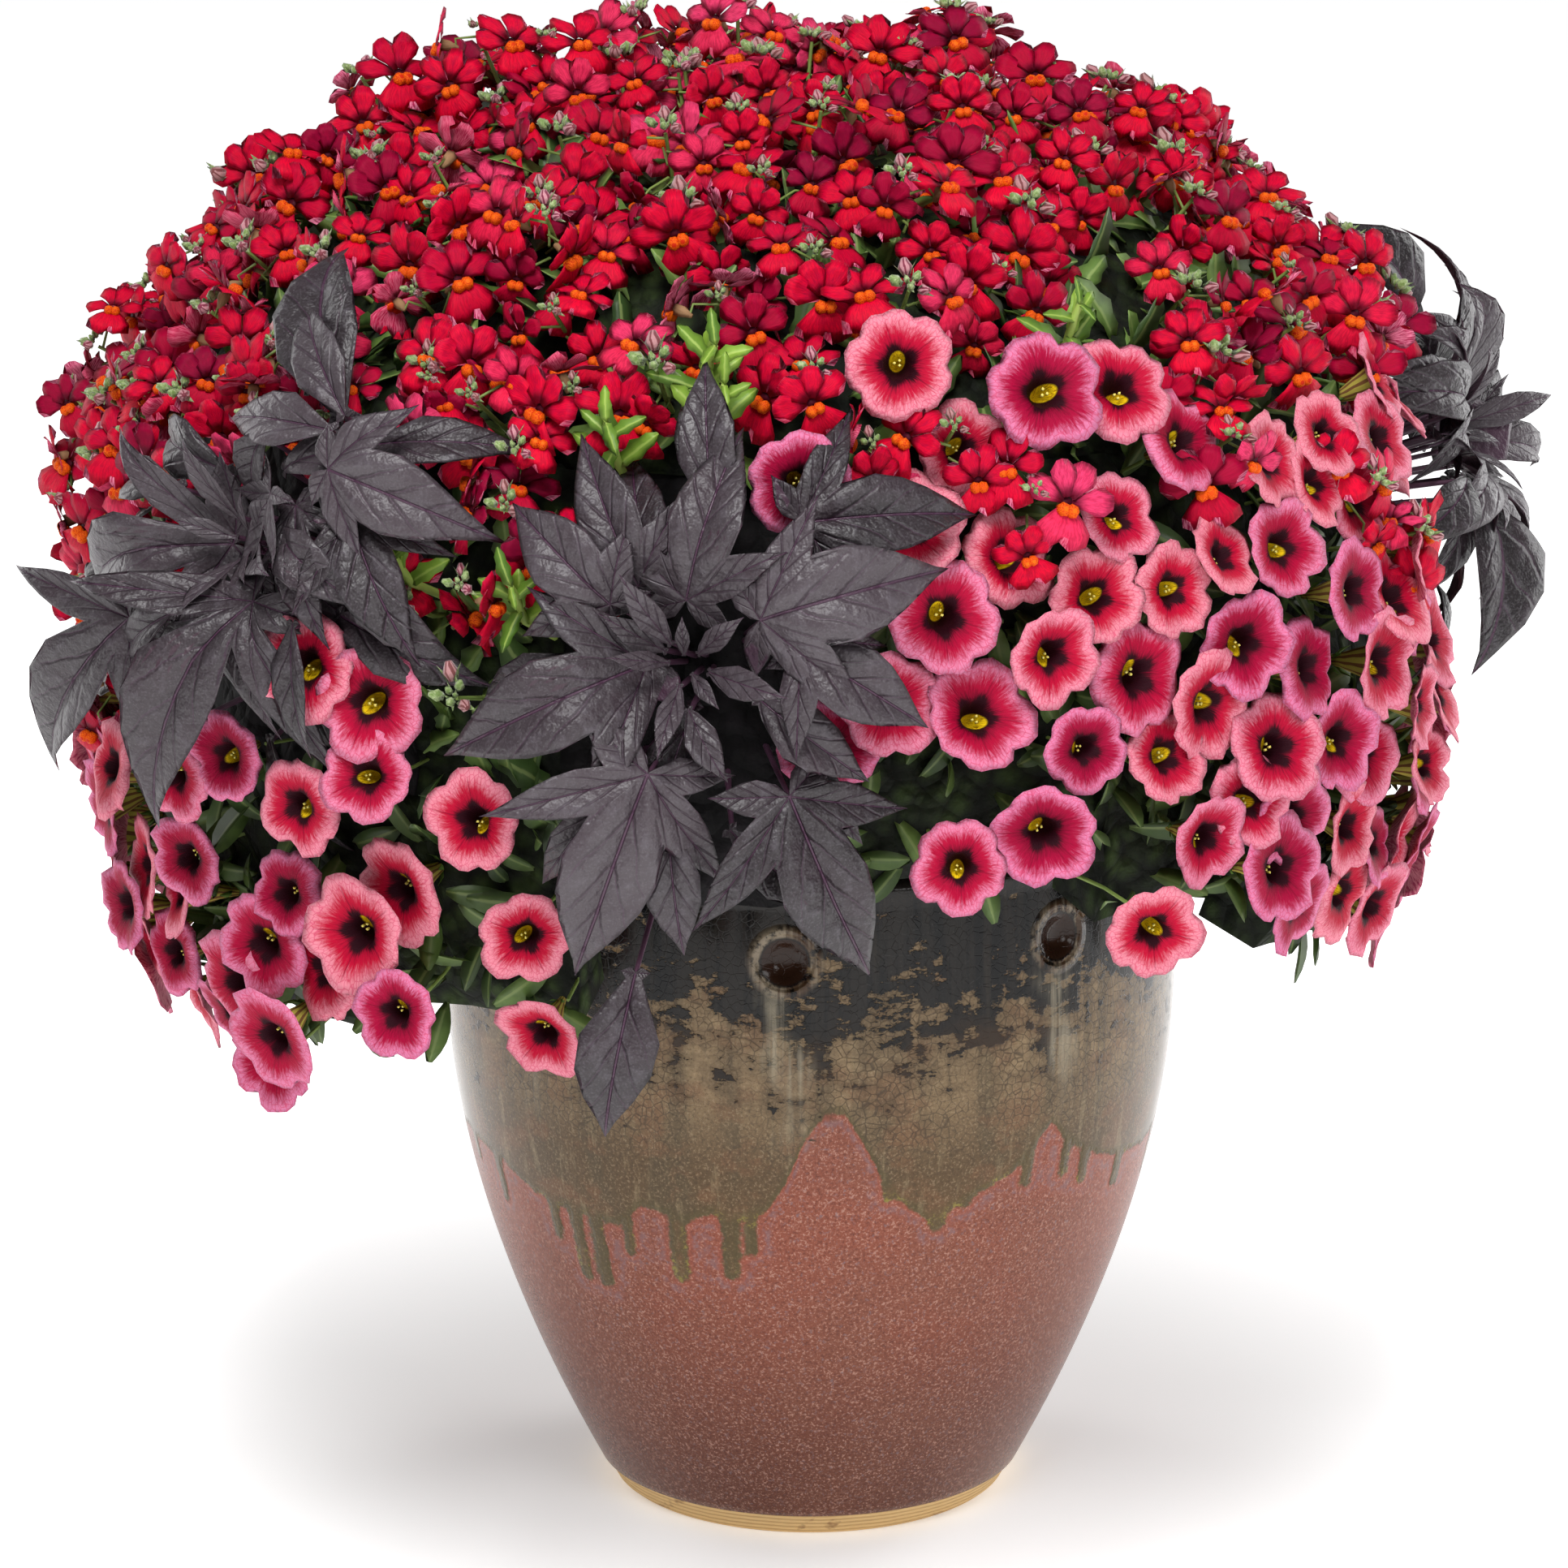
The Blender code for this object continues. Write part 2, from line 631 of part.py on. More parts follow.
def plan_blooms(kind, cells, tufts, taken):
    """Every bloom of one kind, clear of the tufts and of other blooms, and as wide as it has room."""
    chance = random.Random(kind["spacing"])
    blooms = []
    for outward in lattice(kind["spacing"]):
        drawn = [chance.uniform(-1, 1) for _ in range(6)]
        home = next((number for number, cell in enumerate(cells) if in_cell(outward, cell)), None)
        if home is None:
            continue
        distance = BLOOM_DISTANCE + drawn[0] * BLOOM_DISTANCE_SWAY
        if kind is NEMESIA and angles_of(outward)[1] < SPRAY_POLAR and drawn[1] > 1 - 2 * SPRAY_SHARE:
            distance += SPRAY_REACH * (0.6 + 0.4 * drawn[2])
        centre = place(outward, distance)
        facing = facing_of(kind, outward, Vector(drawn[3:6]))
        blooms.append({"home": home, "outward": outward, "centre": centre, "facing": facing})
    for bloom in blooms:
        centre = bloom["centre"]
        room = [(place(tuft, BLOOM_DISTANCE) - centre).length - TUFT_CLEAR for tuft in tufts]
        room += [(other["centre"] - centre).length - other["radius"] for other in taken]
        room += [(other["centre"] - centre).length / 2 for other in blooms if other is not bloom]
        bloom["radius"] = min(kind["radius"], min(room) * 0.98)
    return [bloom for bloom in blooms if bloom["radius"] > kind["radius"] * 0.66]


def facing_of(kind, outward, sway):
    """The way a bloom faces: outwards and up, leaning at most by the limit from straight out."""
    flat = Vector((outward.x, outward.y, 0)).normalized()
    level = math.hypot(outward.x, outward.y)
    facing = flat * (0.4 + 0.6 * level) + Vector((0, 0, kind["rise"] + 0.8 * max(0.0, outward.z)))
    facing = (facing.normalized() + sway * kind["sway"]).normalized()
    return outward.slerp(facing, min(1.0, LEAN_LIMIT / outward.angle(facing)))


def clamped(outward, cell):
    """The direction nearest to outward that lies inside a cell, its cut corners too, by the root margin."""
    azimuth_0, azimuth_1, polar_0, polar_1 = cell
    azimuth, polar = angles_of(outward)
    if polar_0 == 0:
        return direction(azimuth, min(polar, polar_1 - ROOT_MARGIN))
    level = math.sin(math.radians(polar))
    wide, high = (azimuth_1 - azimuth_0) * level, polar_1 - polar_0
    x = min(max(((azimuth - azimuth_0) % 360) * level, ROOT_MARGIN), wide - ROOT_MARGIN)
    y = min(max(polar - polar_0, ROOT_MARGIN), high - ROOT_MARGIN)
    short = CORNER_CUT + 1.5 * ROOT_MARGIN - min(x, wide - x) - min(y, high - y)
    if short > 0:
        x += short / 2 if x < wide / 2 else -short / 2
        y += short / 2 if y < high / 2 else -short / 2
    return direction(azimuth_0 + x / level, polar_0 + y)


def cell_border(cell):
    """Directions round a cell, with its corners cut off."""
    azimuth_0, azimuth_1, polar_0, polar_1 = cell
    if polar_0 == 0:
        sides = 10
        return [direction(360 * k / sides, polar_1) for k in range(sides)]
    top_cut = CORNER_CUT / math.sin(math.radians(polar_0))
    low_cut = CORNER_CUT / math.sin(math.radians(polar_1))
    corners = [
        ((azimuth_0 + top_cut, polar_0), (azimuth_1 - top_cut, polar_0)),
        ((azimuth_1, polar_0 + CORNER_CUT), (azimuth_1, polar_1 - CORNER_CUT)),
        ((azimuth_1 - low_cut, polar_1), (azimuth_0 + low_cut, polar_1)),
        ((azimuth_0, polar_1 - CORNER_CUT), (azimuth_0, polar_0 + CORNER_CUT)),
    ]
    border = []
    for start, end in corners:
        length = direction(*start).angle(direction(*end))
        turned_by = abs(end[0] - start[0])
        pieces = max(1, round(math.degrees(length) / EDGE_STEP), round(turned_by / AZIMUTH_STEP))
        for k in range(pieces + 1):
            share = k / pieces
            border.append(direction(*(a + (b - a) * share for a, b in zip(start, end))))
    return border


def cell_grid(cell):
    """Directions spread over the inside of a cell, for the underside of its head."""
    azimuth_0, azimuth_1, polar_0, polar_1 = cell
    if polar_0 == 0:
        return [direction(0, 0)] + [direction(72 * k, polar_1 / 2) for k in range(5)]
    wide = (azimuth_1 - azimuth_0) * math.sin(math.radians((polar_0 + polar_1) / 2))
    across = max(2, round(wide / BOTTOM_STEP))
    down = max(2, round((polar_1 - polar_0) / BOTTOM_STEP))
    shares = [(i / across, j / down) for i in range(1, across) for j in range(1, down)]
    return [
        direction(azimuth_0 + (azimuth_1 - azimuth_0) * x, polar_0 + (polar_1 - polar_0) * y)
        for x, y in shares
    ]


def middle_of(cell):
    azimuth_0, azimuth_1, polar_0, polar_1 = cell
    return direction((azimuth_0 + azimuth_1) / 2, (polar_0 + polar_1) / 2 if polar_0 else 0)


def in_patches(outward, cells):
    return any(in_cell(outward, cell, SEAT_MARGIN) for cell in cells)


def seat_of(cell):
    """Where a head rests: the direction of its underside's grid nearest to its middle with foliage below."""
    patches = [p for cells, _ in [*NEMESIA_FOLIAGE.values(), *CALIBRACHOA_FOLIAGE.values()] for p in cells]
    spots = [outward for outward in cell_grid(cell) if in_patches(outward, patches)]
    return min(spots, key=middle_of(cell).angle)


def head_stalk(seat):
    """The stalk of the foliage that reaches up to just under a head."""
    top = place(seat, HEAD_BOTTOM) - seat * SEAT_GAP
    return tube("stalk", [place(seat, FOLIAGE_OUTER - ROOTED), top], STALK_RADIUS, 3)


def flattened(directions, middle):
    """Directions laid flat round a middle one."""
    up, right = tangents(middle)
    flat = []
    for outward in directions:
        angle = middle.angle(outward)
        stretch = angle / math.sin(angle) if angle > 1e-6 else 1.0
        flat.append(Vector((outward.dot(right) * stretch, outward.dot(up) * stretch)))
    return flat


def triangles_of(flat, loops):
    """Triangles over the flat points within the first loop, by point number."""
    found = delaunay_2d_cdt(flat, [], loops, 1, 1e-6)
    numbers = [origins[0] for origins in found[3]]
    return [tuple(numbers[v] for v in face) for face in found[2]]


def make_head(name, cell, blooms, finish):
    """One head: a thin core over its cell of the mound, and blooms that stand out of it on their tubes."""
    middle = middle_of(cell)
    border = cell_border(cell)
    edge = len(border)
    roots = [clamped(bloom["outward"], cell) for bloom in blooms]
    root_rings = []
    for root in roots:
        turns = (math.tau * k / 3 for k in range(3))
        root_rings += [stepped(root, turn, ROOT_RADIUS / HEAD_TOP) for turn in turns]
    points = [place(outward, HEAD_TOP) for outward in border + root_rings]
    floor_loops = [list(range(edge))] + [[edge + 3 * k + j for j in range(3)] for k in range(len(roots))]
    faces = []
    for face in triangles_of(flattened(border + root_rings, middle), floor_loops):
        owners = {(number - edge) // 3 if number >= edge else -1 for number in face}
        if len(owners) > 1 or -1 in owners:
            faces.append(face)
    under = len(points)
    low = border + cell_grid(cell)
    points += [place(outward, HEAD_BOTTOM) for outward in low]
    for face in triangles_of(flattened(low, middle), [list(range(edge))]):
        faces.append(tuple(under + number for number in face))
    for k in range(edge):
        after = (k + 1) % edge
        faces += [(k, after, under + after), (k, under + after, under + k)]
    for k, bloom in enumerate(blooms):
        rim = add_rim(points, bloom, place(roots[k], HEAD_TOP), finish)
        faces += [(rim[j], rim[(j + 1) % len(rim)], rim[-1] + 1) for j in range(len(rim))]
        faces += funnel(points, rim, [edge + 3 * k + j for j in range(3)])
    head = object_of(name, points, faces)
    head.data.materials.append(finish_of(name + "_core", "green_leaf"))
    head.data.materials.append(finish_of(name, finish))
    first_petal = under + len(low)
    for face in head.data.polygons:
        face.material_index = int(max(face.vertices) >= first_petal)


def add_rim(points, bloom, root, finish):
    """Adds a bloom's lobed rim and its cup, towards its root. Gives the rim's point numbers."""
    kind = NEMESIA if finish == "nemesia_petal" else CALIBRACHOA
    up, right = tangents(bloom["facing"])
    first = len(points)
    rim = 2 * LOBES
    for k in range(rim):
        turn = math.tau * k / rim
        size = bloom["radius"] * (1.0 if k % 2 == 0 else LOBE_NOTCH)
        if kind is NEMESIA and k == LOBES:
            size = bloom["radius"] * LOWER_LIP
        points.append(bloom["centre"] + (up * math.cos(turn) + right * math.sin(turn)) * size)
    points.append(bloom["centre"].lerp(root, kind["cup"]))
    return list(range(first, first + rim))


def leaf_height(outward, middle, layer):
    """A vine leaf's distance: low near its growing tip, and high where it spreads over the flowers."""
    away = outward.angle(middle) * BLOOM_DISTANCE
    share = min(1.0, away / LEAF_RISE)
    rise = share * share * (3 - 2 * share)
    return LEAF_LOW + (LEAF_HIGH - LEAF_LOW) * rise + layer * LEAF_LAYER_STEP


def leaf_point(base, bearing, middle, layer, length, u, v):
    """The point of a leaf u along its midrib and v across, laid over the mound."""
    up, right = tangents(base)
    along = up * math.cos(bearing) + right * math.sin(bearing)
    across = along.cross(base)
    reach = math.hypot(u, v)
    turn = reach / BLOOM_DISTANCE
    outward = base
    if reach > 0:
        outward = base * math.cos(turn) + (along * u + across * v) / reach * math.sin(turn)
    droop = LEAF_TIP_DROOP * max(0.0, u / length) ** 3
    arch = BLADE_ARCH * abs(v)
    return place(outward, leaf_height(outward, middle, layer) - droop - arch)


def vine_leaf(middle, leaf):
    """One vine leaf: a thin blade over the mound, and its stalk down into the vine's foliage."""
    right_mm, up_mm, bearing_deg, length_mm, width, layer, lobed = leaf
    length = length_mm / 1000
    away = math.hypot(right_mm, up_mm) / 1000 / BLOOM_DISTANCE
    base = stepped(middle, math.atan2(right_mm, up_mm), away)
    bearing = math.radians(bearing_deg)
    half = LOBED_OUTLINE if lobed else PLAIN_OUTLINE
    flat = [(0, 0), *half, (1, 0), *((u, -v) for u, v in reversed(half))]

    def laid(u, v):
        return leaf_point(base, bearing, middle, layer, length, u * length, v * length * width)

    outline = [laid(u, v) for u, v in flat]
    midrib = [laid(u, 0) for u in MIDRIB]
    lift = base * LEAF_THICKNESS / 2
    foot = place(base.lerp(middle, 0.25).normalized(), FOLIAGE_OUTER - ROOTED)
    split = LOBED_SPLIT if lobed else PLAIN_SPLIT
    stalk = tube("leafstalk", [laid(0.1, 0), foot], PETIOLE_RADIUS, 3)
    return [blade(outline, midrib, split, lift), stalk]


def rosette(name, count):
    """Leaves round a growing tip, turned by the golden angle and longer lower down."""
    chance = random.Random(name)
    leaves = []
    for k in range(count):
        share = k / (count - 1)
        bearing = math.degrees(k * GOLDEN_ANGLE) % 360
        away = ROSETTE_INNER + (ROSETTE_OUTER - ROSETTE_INNER) * share
        turn = math.radians(bearing)
        place_mm = (away * math.sin(turn), away * math.cos(turn))
        length = YOUNG_LEAF + (OLD_LEAF - YOUNG_LEAF) * share + chance.uniform(-4, 6)
        layer = round(ROSETTE_LAYERS * (1 - share))
        width = chance.uniform(0.8, 1.0)
        leaves.append((*place_mm, bearing + chance.uniform(-12, 12), length, width, layer, k % 3 > 0))
    return leaves


def make_green(routes):
    """The nemesias' and calibrachoas' foliage, each with its tufts and hanging leaves."""
    tufts = tuft_places()
    left = list(tufts)
    seats = [seat_of(cell) for cell in NEMESIA_CELLS + CALIBRACHOA_CELLS]
    for name, (cells, _) in {**NEMESIA_FOLIAGE, **CALIBRACHOA_FOLIAGE}.items():
        own = [tuft for tuft in left if any(in_cell(tuft, (a, b, c - 1, d + 1)) for a, b, c, d in cells)]
        left = [tuft for tuft in left if tuft not in own]
        leaves = [tuft_leaf(tuft) for tuft in own]
        if name in CALIBRACHOA_FOLIAGE:
            leaves += hem_leaves(cells)
        stalks = [head_stalk(seat) for seat in seats if in_patches(seat, cells)]
        make_foliage(name, cells, routes[name], "green_leaf", leaves + stalks)
    return tufts


def make_vines(routes):
    plans = {
        "vine_front": FRONT_LEAVES,
        "vine_left": LEFT_LEAVES,
        "vine_right": rosette("vine_right", RIGHT_LEAF_COUNT),
        "vine_back": rosette("vine_back", BACK_LEAF_COUNT),
    }
    for name, (cells, _) in VINES.items():
        middle = direction(*VINE_TIPS[name])
        leaves = [piece for leaf in plans[name] for piece in vine_leaf(middle, leaf)]
        make_foliage(name, cells, routes[name], "vine_leaf", leaves)


def make_heads(tufts):
    taken = []
    kinds = (("nemesia", NEMESIA, NEMESIA_CELLS), ("calibrachoa", CALIBRACHOA, CALIBRACHOA_CELLS))
    for word, kind, cells in kinds:
        blooms = plan_blooms(kind, cells, tufts, taken)
        taken += blooms
        for number, cell in enumerate(cells):
            own = [bloom for bloom in blooms if bloom["home"] == number]
            make_head(f"{word}_head_{number + 1:02d}", cell, own, f"{word}_petal")


def main():
    clear_scene()
    make_pot()
    routes = stem_routes()
    make_soil(routes)
    tufts = make_green(routes)
    make_vines(routes)
    make_heads(tufts)


main()
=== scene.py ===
"""Looks of a mixed planting of red nemesia, dark sweet potato vine and pink calibrachoa in a glazed pot.

Metres, +Z up. Places on the mound are an azimuth, from the front (-Y) towards +X, and a polar angle from
straight up, in degrees. A cell is a stretch of the mound: azimuth from and to, polar angle from and to.
"""

import json
import math
import random

import bpy
import numpy as np
from mathutils import Matrix, Vector
from mathutils.kdtree import KDTree

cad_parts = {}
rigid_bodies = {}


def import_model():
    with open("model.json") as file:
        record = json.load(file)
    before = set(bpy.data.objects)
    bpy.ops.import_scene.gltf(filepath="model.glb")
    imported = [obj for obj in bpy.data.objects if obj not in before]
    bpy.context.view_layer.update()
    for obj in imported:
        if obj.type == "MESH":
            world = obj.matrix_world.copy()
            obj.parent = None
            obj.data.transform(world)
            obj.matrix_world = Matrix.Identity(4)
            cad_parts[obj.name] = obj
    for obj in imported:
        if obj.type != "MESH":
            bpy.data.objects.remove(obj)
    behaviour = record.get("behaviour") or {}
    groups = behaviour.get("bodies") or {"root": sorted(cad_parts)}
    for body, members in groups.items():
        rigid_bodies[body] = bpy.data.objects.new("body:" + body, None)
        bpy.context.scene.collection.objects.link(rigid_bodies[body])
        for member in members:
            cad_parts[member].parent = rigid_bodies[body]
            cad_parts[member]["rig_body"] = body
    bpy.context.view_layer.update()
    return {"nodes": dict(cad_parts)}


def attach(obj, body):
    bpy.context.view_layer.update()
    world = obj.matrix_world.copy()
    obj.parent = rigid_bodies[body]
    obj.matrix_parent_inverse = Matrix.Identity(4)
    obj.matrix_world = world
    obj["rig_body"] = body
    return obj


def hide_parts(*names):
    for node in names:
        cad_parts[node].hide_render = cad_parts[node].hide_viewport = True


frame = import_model()

# Camera: the photo's angle and distance
CAMERA_TARGET = Vector((-0.0099, 0.0, 0.2748))
CAMERA_ELEVATION = 15.0
CAMERA_DISTANCE = 2.3
FRAME_WIDTH = 0.597
SENSOR_WIDTH = 36.0

# Stage
LIGHTS_AIM = Vector((0, 0, 0.3))
FLOOR_REACH = 14.0

# Mound
MOUND = Vector((-0.018, 0.0, 0.328))
MOUND_TOP_SHARE = 0.87
MOUND_SHOULDER_POWER = 2.5
CORE_INNER = 0.203
CORE_OUTER = 0.229
GOLDEN_ANGLE = math.radians(137.508)
UP = Vector((0, 0, 1))

# Pot
POT_HEIGHT = 0.275
BELLY_RADIUS = 0.1395
BELLY_HEIGHT = 0.200
BASE_RADIUS = 0.077
BELLY_POWER = 1.75
RIM_PULL_IN = 0.0035
WALL = 0.008
FLOOR = 0.012
LIP_ROUND = 0.0045
SOIL_TOP = 0.250
FOOT_HEIGHT = 0.0090
DIMPLES = 8
DIMPLE_FIRST_AZIMUTH = -4.0
DIMPLE_HEIGHT = 0.245
DIMPLE_RADIUS = 0.0095
DIMPLE_DEPTH = 0.0032
# What a point of the pot says where no drip or dimple is near
FAR = 0.1
# How softly the glaze's runs join its edge
GLAZE_FILLET = 0.0012
# Where the olive glaze ends over the red: azimuth and height in mm
GLAZE_EDGE = (
    (-180, 150), (-150, 138), (-120, 152), (-95, 140), (-75, 150), (-60, 147), (-52, 140), (-46, 138),
    (-33, 136), (-28, 146), (-20, 142), (-16, 146), (-11, 145), (-7, 149), (-4, 160), (-1, 178), (2, 188),
    (5, 188), (8, 176), (11, 162), (14, 152), (19, 143), (27, 151), (33, 157), (40, 174), (47, 160),
    (55, 152), (70, 146), (90, 154), (115, 142), (140, 156), (160, 146), (180, 150),
)
# Its runs: azimuth, height of the end and half width, in mm
GLAZE_RUNS = (
    (-62, 128, 2.0), (-47, 122, 2.2), (-42, 108, 2.3), (-37.5, 107, 2.6), (-31, 124, 1.6), (-22, 116, 2.6),
    (-13, 119, 2.4), (-9.5, 130, 1.6), (12, 152, 1.5), (20.5, 138, 2.2), (25, 146, 1.6), (36, 150, 2.0),
    (44, 150, 1.8), (49, 144, 2.0), (60, 136, 2.4), (78, 128, 2.6), (96, 136, 2.2), (108, 120, 2.6),
    (126, 132, 2.4), (150, 124, 2.6), (172, 134, 2.2), (-160, 122, 2.8), (-140, 128, 2.2), (-118, 134, 2.4),
    (-102, 120, 2.6), (-84, 126, 2.4), (-72, 138, 2.0),
)

# Flowers
BLOOM_DISTANCE = 0.258
SHOOT_SPACING = 0.0450
SHOOT_DISTANCE = 0.2575
STRAY_SHOOT_DISTANCE = 0.264
NEMESIA_SIZE = 0.0149
BUDS_SIZE = 0.0086
# Share of the nemesias that face away
FACING_AWAY = 0.14
CALIBRACHOA_SPACING = 0.0315
CALIBRACHOA_DISTANCE = 0.2545
STRAY_CALIBRACHOA_DISTANCE = 0.267
CALIBRACHOA_SIZE = 0.0190
# Where room is kept for the single calibrachoas, and how far from each of them the others stay
KEPT_ROOM_DISTANCE = 0.262
SHOOT_ROOM = 0.026
NEMESIA_ROOM = 0.022
CALIBRACHOA_ROOM = 0.027
# How far the flowers stay from the vines' leaves
SHOOT_CLEARANCE = 0.008
NEMESIA_CLEARANCE = 0.007
CALIBRACHOA_CLEARANCE = 0.015
STRAY_CALIBRACHOA_CLEARANCE = 0.006
# Where the stalks of the flowers and of the vines' leaves start, in the leafy mass
STALK_FOOT = 0.224
LEAFSTALK_FOOT = 0.221
# Single flowers and shoots that stand among the others: azimuth and polar angle
STRAY_SHOOTS = (
    (59, 70), (65, 75), (-57, 71), (-56, 85), (-64, 67), (-50, 81), (-62, 78), (-22, 80), (-20, 67),
    (-25, 59), (-16, 58), (-20, 63), (-12, 66), (-30, 57), (-9, 56), (-15, 71), (-23, 73), (-27, 78),
    (-23, 81), (-17, 77), (16, 61), (22, 66), (36, 62), (42, 64), (8, 59), (-70, 70), (-73, 80), (-67, 86),
    (-62, 85), (-70, 62), (-58, 63), (-66, 64), (-73, 66), (-52, 61), (-47, 63), (-38, 62),
)
STRAY_CALIBRACHOAS = (
    (12, 56), (24, 59), (32, 59), (3, 65), (-18, 99), (4, 92), (30, 99), (-35, 80), (-33, 84), (-43, 111),
    (-29, 106), (-21.4, 90), (-30, 87.5), (-30, 82), (14.4, 92.5), (21.5, 91), (-40, 86), (-45, 88.5),
    (-37, 91), (-51, 91), (9, 96),
)
# Tops of the tall sprays that break the outline, in mm
SPRAYS = (
    (-27, 0, 569), (-8, 20, 560), (52, 0, 568), (36, -20, 558), (-123, 0, 562), (-138, 25, 546),
    (-166, 0, 545), (-182, -15, 520), (-214, 0, 506), (-266, 0, 444), (-278, 0, 424), (-248, 15, 462),
    (141, 0, 531), (154, 15, 512), (198, 0, 484), (216, 0, 464), (243, -10, 438), (90, 0, 545),
    (-66, 15, 564), (20, 90, 548), (-96, -10, 560), (128, -10, 536), (-228, -20, 486), (66, 20, 560),
    (-46, -30, 552), (172, -20, 496), (-90, 120, 525), (110, 130, 505), (0, 190, 470), (-170, 120, 470),
    (170, 150, 455),
)
# Where the hem is bare and shows the pot
HEM_GAP = (12, 27, 91, 120)
# Fresh green shoots: azimuth, polar angle and lean to the right
GREEN_SHOOTS = (
    (-11, 64, -0.4), (-7, 58, 0.9), (-5, 61, 0.6), (-18, 76, -0.2), (-27, 74, -0.8), (28, 56, 0.5),
)

# Cells of the bloom heads, and of the foliage under them
NEMESIA_CELLS = (
    [(0, 360, 0, 17.5)]
    + [(36.3 + 72 * k, 107.7 + 72 * k, 18.1, 38.5) for k in range(5)]
    + [(5.3 + 40 * k, 44.7 + 40 * k, 39.1, 61.3) for k in range(9)]
    + [(-128, -102.3, 62.3, 90.8), (-101.7, -76.6, 62.3, 90.8)]
    + [(-30.8, -17.4, 62.3, 91)]
)
CALIBRACHOA_CELLS = [
    (6.6, 30.7, 62.3, 81.7),
    (31.3, 57.7, 62.3, 81.7),
    (58.3, 83.2, 62.3, 81.7),
    (4.2, 30.7, 82.3, 97),
    (31.3, 57.7, 82.3, 103),
    (58.3, 83.2, 82.3, 110),
    (83.8, 107.8, 91, 112),
    (108.4, 142.1, 62.3, 86.7),
    (142.7, 176.4, 62.3, 86.7),
    (108.4, 142.1, 87.3, 113),
    (142.7, 176.4, 87.3, 113),
    (201.2, 231.6, 62.3, 90.8),
    (201.2, 231.6, 91.4, 114),
    (232.2, 262.2, 91.4, 115),
    (-97.2, -70.3, 91.4, 118),
    (-69.7, -44, 91.4, 118),
    (-43.4, -17.4, 91.6, 112),
]
NEMESIA_FOLIAGE = {
    **{f"nemesia_foliage_{k + 1}": [(90 * k, 90 * k + 90, 0.6, 61.8)] for k in range(4)},
    "nemesia_foliage_left": [(-128, -76.3, 61.8, 91)],
    "nemesia_foliage_front": [(-31.1, -17.1, 61.8, 91)],
}
CALIBRACHOA_FOLIAGE = {
    "calibrachoa_foliage_right": [(3.9, 31.3, 61.8, 97), (31.3, 83.5, 61.8, 103), (58, 108, 91, 112)],
    "calibrachoa_foliage_back_right": [(108, 176.7, 61.8, 113)],
    "calibrachoa_foliage_back_left": [(201, 232, 61.8, 92), (201, 262.2, 91, 115)],
    "calibrachoa_foliage_left": [(-97.8, -17.1, 91, 112), (-97.8, -44, 105, 118)],
}
# Stems: azimuth and polar angle of the top, and how far from the pot's middle each leaves the soil
STEMS = (
    (40, 45, 0.045), (130, 45, 0.045), (220, 45, 0.045), (310, 45, 0.045), (-100, 80, 0.085),
    (-24, 80, 0.085), (30, 92, 0.098), (72, 94, 0.098), (142, 94, 0.098), (220, 94, 0.098),
    (-62, 96, 0.105), (-6, 80, 0.080), (-54, 80, 0.072), (96, 80, 0.080), (189, 80, 0.080),
)

# Vines: the cells of each, its growing tip as azimuth and polar angle, how steeply its leaves stand away
# from the mound, how far they turn their faces to the front, how far from the tip its lowest leaves lie, in
# mm, and whether low leaves lie above the tip too
VINES = {
    "vine_front": {"cells": [(-17.1, 3.9, 61.8, 99)], "tip": (-5.5, 77.5), "stand": 0.10, "turn": 0.0,
                   "reach": 58, "low_above": True},
    "vine_left": {"cells": [(-76.3, -31.1, 61.8, 91)], "tip": (-43.0, 72.0), "stand": 0.06, "turn": -0.15,
                  "reach": 150, "low_above": False},
    "vine_right": {"cells": [(83.5, 108, 61.8, 91)], "tip": (95.5, 73.0), "stand": 0.42, "turn": 0.75,
                   "reach": 62, "low_above": True},
    "vine_back": {"cells": [(176.7, 201, 61.8, 108)], "tip": (189.0, 84.0), "stand": 0.25, "turn": 0.0,
                  "reach": 110, "low_above": True},
}
# Leaves as seen from outside, from the vine's growing tip: right mm, up mm of the leaf's base, bearing from
# up, length mm, width share, layer, lobed
FRONT_LEAVES = (
    (-4, -50, 176, 50, 0.85, 0, False),
    (-15, -102, 190, 66, 0.85, 0, False),
    (24, -10, 128, 46, 0.9, 1, False),
    (8, 46, -4, 52, 0.8, 0, False),
    (-14, 24, -24, 52, 0.9, 1, True),
    (-24, -42, 216, 44, 0.7, 0, False),
    (36, 44, 84, 60, 0.95, 1, True),
    (1, 20, 16, 58, 0.9, 3, True),
    (-22, 18, -48, 46, 1.15, 2, True),
    (34, -40, 158, 78, 0.85, 1, True),
    (36, 6, 122, 48, 1.1, 2, True),
    (-12, 0, 244, 72, 0.9, 3, True),
    (-9, -33, 200, 78, 0.85, 3, True),
    (24, 14, 74, 62, 1.05, 4, True),
    (2, -14, 150, 26, 0.9, 4, False),
    (-6, 4, 300, 22, 0.9, 4, False),
)
